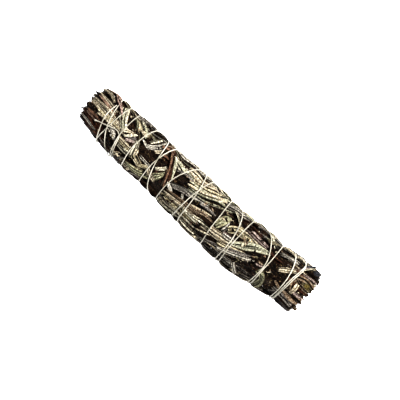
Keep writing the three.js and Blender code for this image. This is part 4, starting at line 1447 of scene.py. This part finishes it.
# ---- Binding string -----------------------------------------------------------------
# Cream cotton of three twisted plies, pulled tight along the route worked out above.
# Each later turn rides over the ones that it crosses; the loose end, which was free to
# the last, lies over all.
loose_until = 28.5  # the loose end lies over everything up to this station
same_strand = 14  # steps along, within which the string doesn't cross itself
full_lift, fading_lift = 0.9, 2.2  # mm beside a strand, and mm beyond that down to none
table_push = 1.0  # mm, by which the table drives the string in
order = np.arange(len(string_flat))
loose_count = int(np.argmax(string_station > loose_until))
order = np.concatenate([order[loose_count:], order[:loose_count][::-1]])
ahead = np.gradient(string_flat, axis=0)
ahead /= np.linalg.norm(ahead, axis=1, keepdims=True)
lift = np.zeros(len(string_flat))
around_length = 2 * np.pi * reference_radius
for when, i in enumerate(order):
    below = order[:when]
    below = below[np.abs(below - i) > same_strand]
    apart = string_flat[i] - string_flat[below]
    apart[:, 0] -= around_length * np.round(apart[:, 0] / around_length)
    near = np.abs((apart * ahead[below]).sum(1)) < 0.75
    beside = np.abs(apart[:, 0] * ahead[below, 1] - apart[:, 1] * ahead[below, 0])
    t = np.clip((beside - full_lift) / fading_lift, 0, 1)
    rise = np.where(near, 1 - t * t * (3 - 2 * t), 0) * (lift[below] + 2 * string_radius + 0.02)
    lift[i] = rise.max() if len(rise) else 0.0
lift = blur(lift, 0.8, 0)
ground = settled(string_station, string_angle, map_read(tops, string_station, string_angle))
ground = blur(widened(ground, 4, 0), 2, 0)
string_out = np.minimum(radius_at(string_station) - string_depth, ground + string_radius)
string_out += lift - table_push * underneath(string_angle)

# Its middle stays at least its own radius, and a little more, above the table.
whole = np.stack([string_station, string_angle * reference_radius, string_out], axis=1)
s, unrolled, out = evenly(whole, 0.48).T
string_line = bundle_point(s, unrolled / reference_radius, out) / 1000
string_line[:, 2] = np.maximum(string_line[:, 2], 1.1 * string_radius / 1000)
outward = bundle_point(s, unrolled / reference_radius, out + 1) / 1000
run = np.concatenate([[0], np.cumsum(np.linalg.norm(np.diff(string_line, axis=0), axis=1))]) * 1000

# Three plies wind round as a cosine. Real ones pass every 1.5 mm or so; they are drawn
# to pass every 4.6 mm, so that they show. The loose tip is frayed to nearly twice the
# thickness.
ply_spacing = 4.6  # mm
fray_length = 1.0  # mm
turn = np.arange(12) / 12 * 2 * np.pi
plies = 1 + 0.13 * np.cos(3 * (turn[None] - run[:, None] / ply_spacing * 2 * np.pi / 3))
frayed = 1 + 0.9 * np.exp(-run / fray_length)[:, None]
string_piece = tube_mesh("cotton_string", string_line, plies * frayed * string_radius / 1000, 12,
                         outward - string_line)

# Undyed cotton: matt and soft-edged from its loose fibres, which a little sheen gives.
# Its cream is soiled in stretches of about 17 mm. The fibres are about 0.02 mm; they
# are drawn as tufts of 0.4 mm.
string_material, tree, shader = new_material("cotton_string", "#efe4c8", 0.95)
shader.inputs["Sheen Weight"].default_value = 0.3
place = node(tree, "ShaderNodeTexCoord", {}).outputs["Object"]
fibres = node(tree, "ShaderNodeTexNoise", {"Vector": place, "Scale": 2600.0, "Detail": 3.0})
soil = node(tree, "ShaderNodeTexNoise", {"Vector": place, "Scale": 60.0, "Detail": 2.0})
ramp = node(tree, "ShaderNodeValToRGB", {"Fac": soil.outputs["Fac"]},
            stops=[(0.35, "#6b685c"), (0.65, "#a29e94")])
tree.links.new(ramp.outputs["Color"], shader.inputs["Base Color"])
bump = node(tree, "ShaderNodeBump",
            {"Height": fibres.outputs["Fac"], "Strength": 0.5, "Distance": 0.0002})
tree.links.new(bump.outputs["Normal"], shader.inputs["Normal"])
string_piece.data.materials.append(string_material)
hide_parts("binding_string")
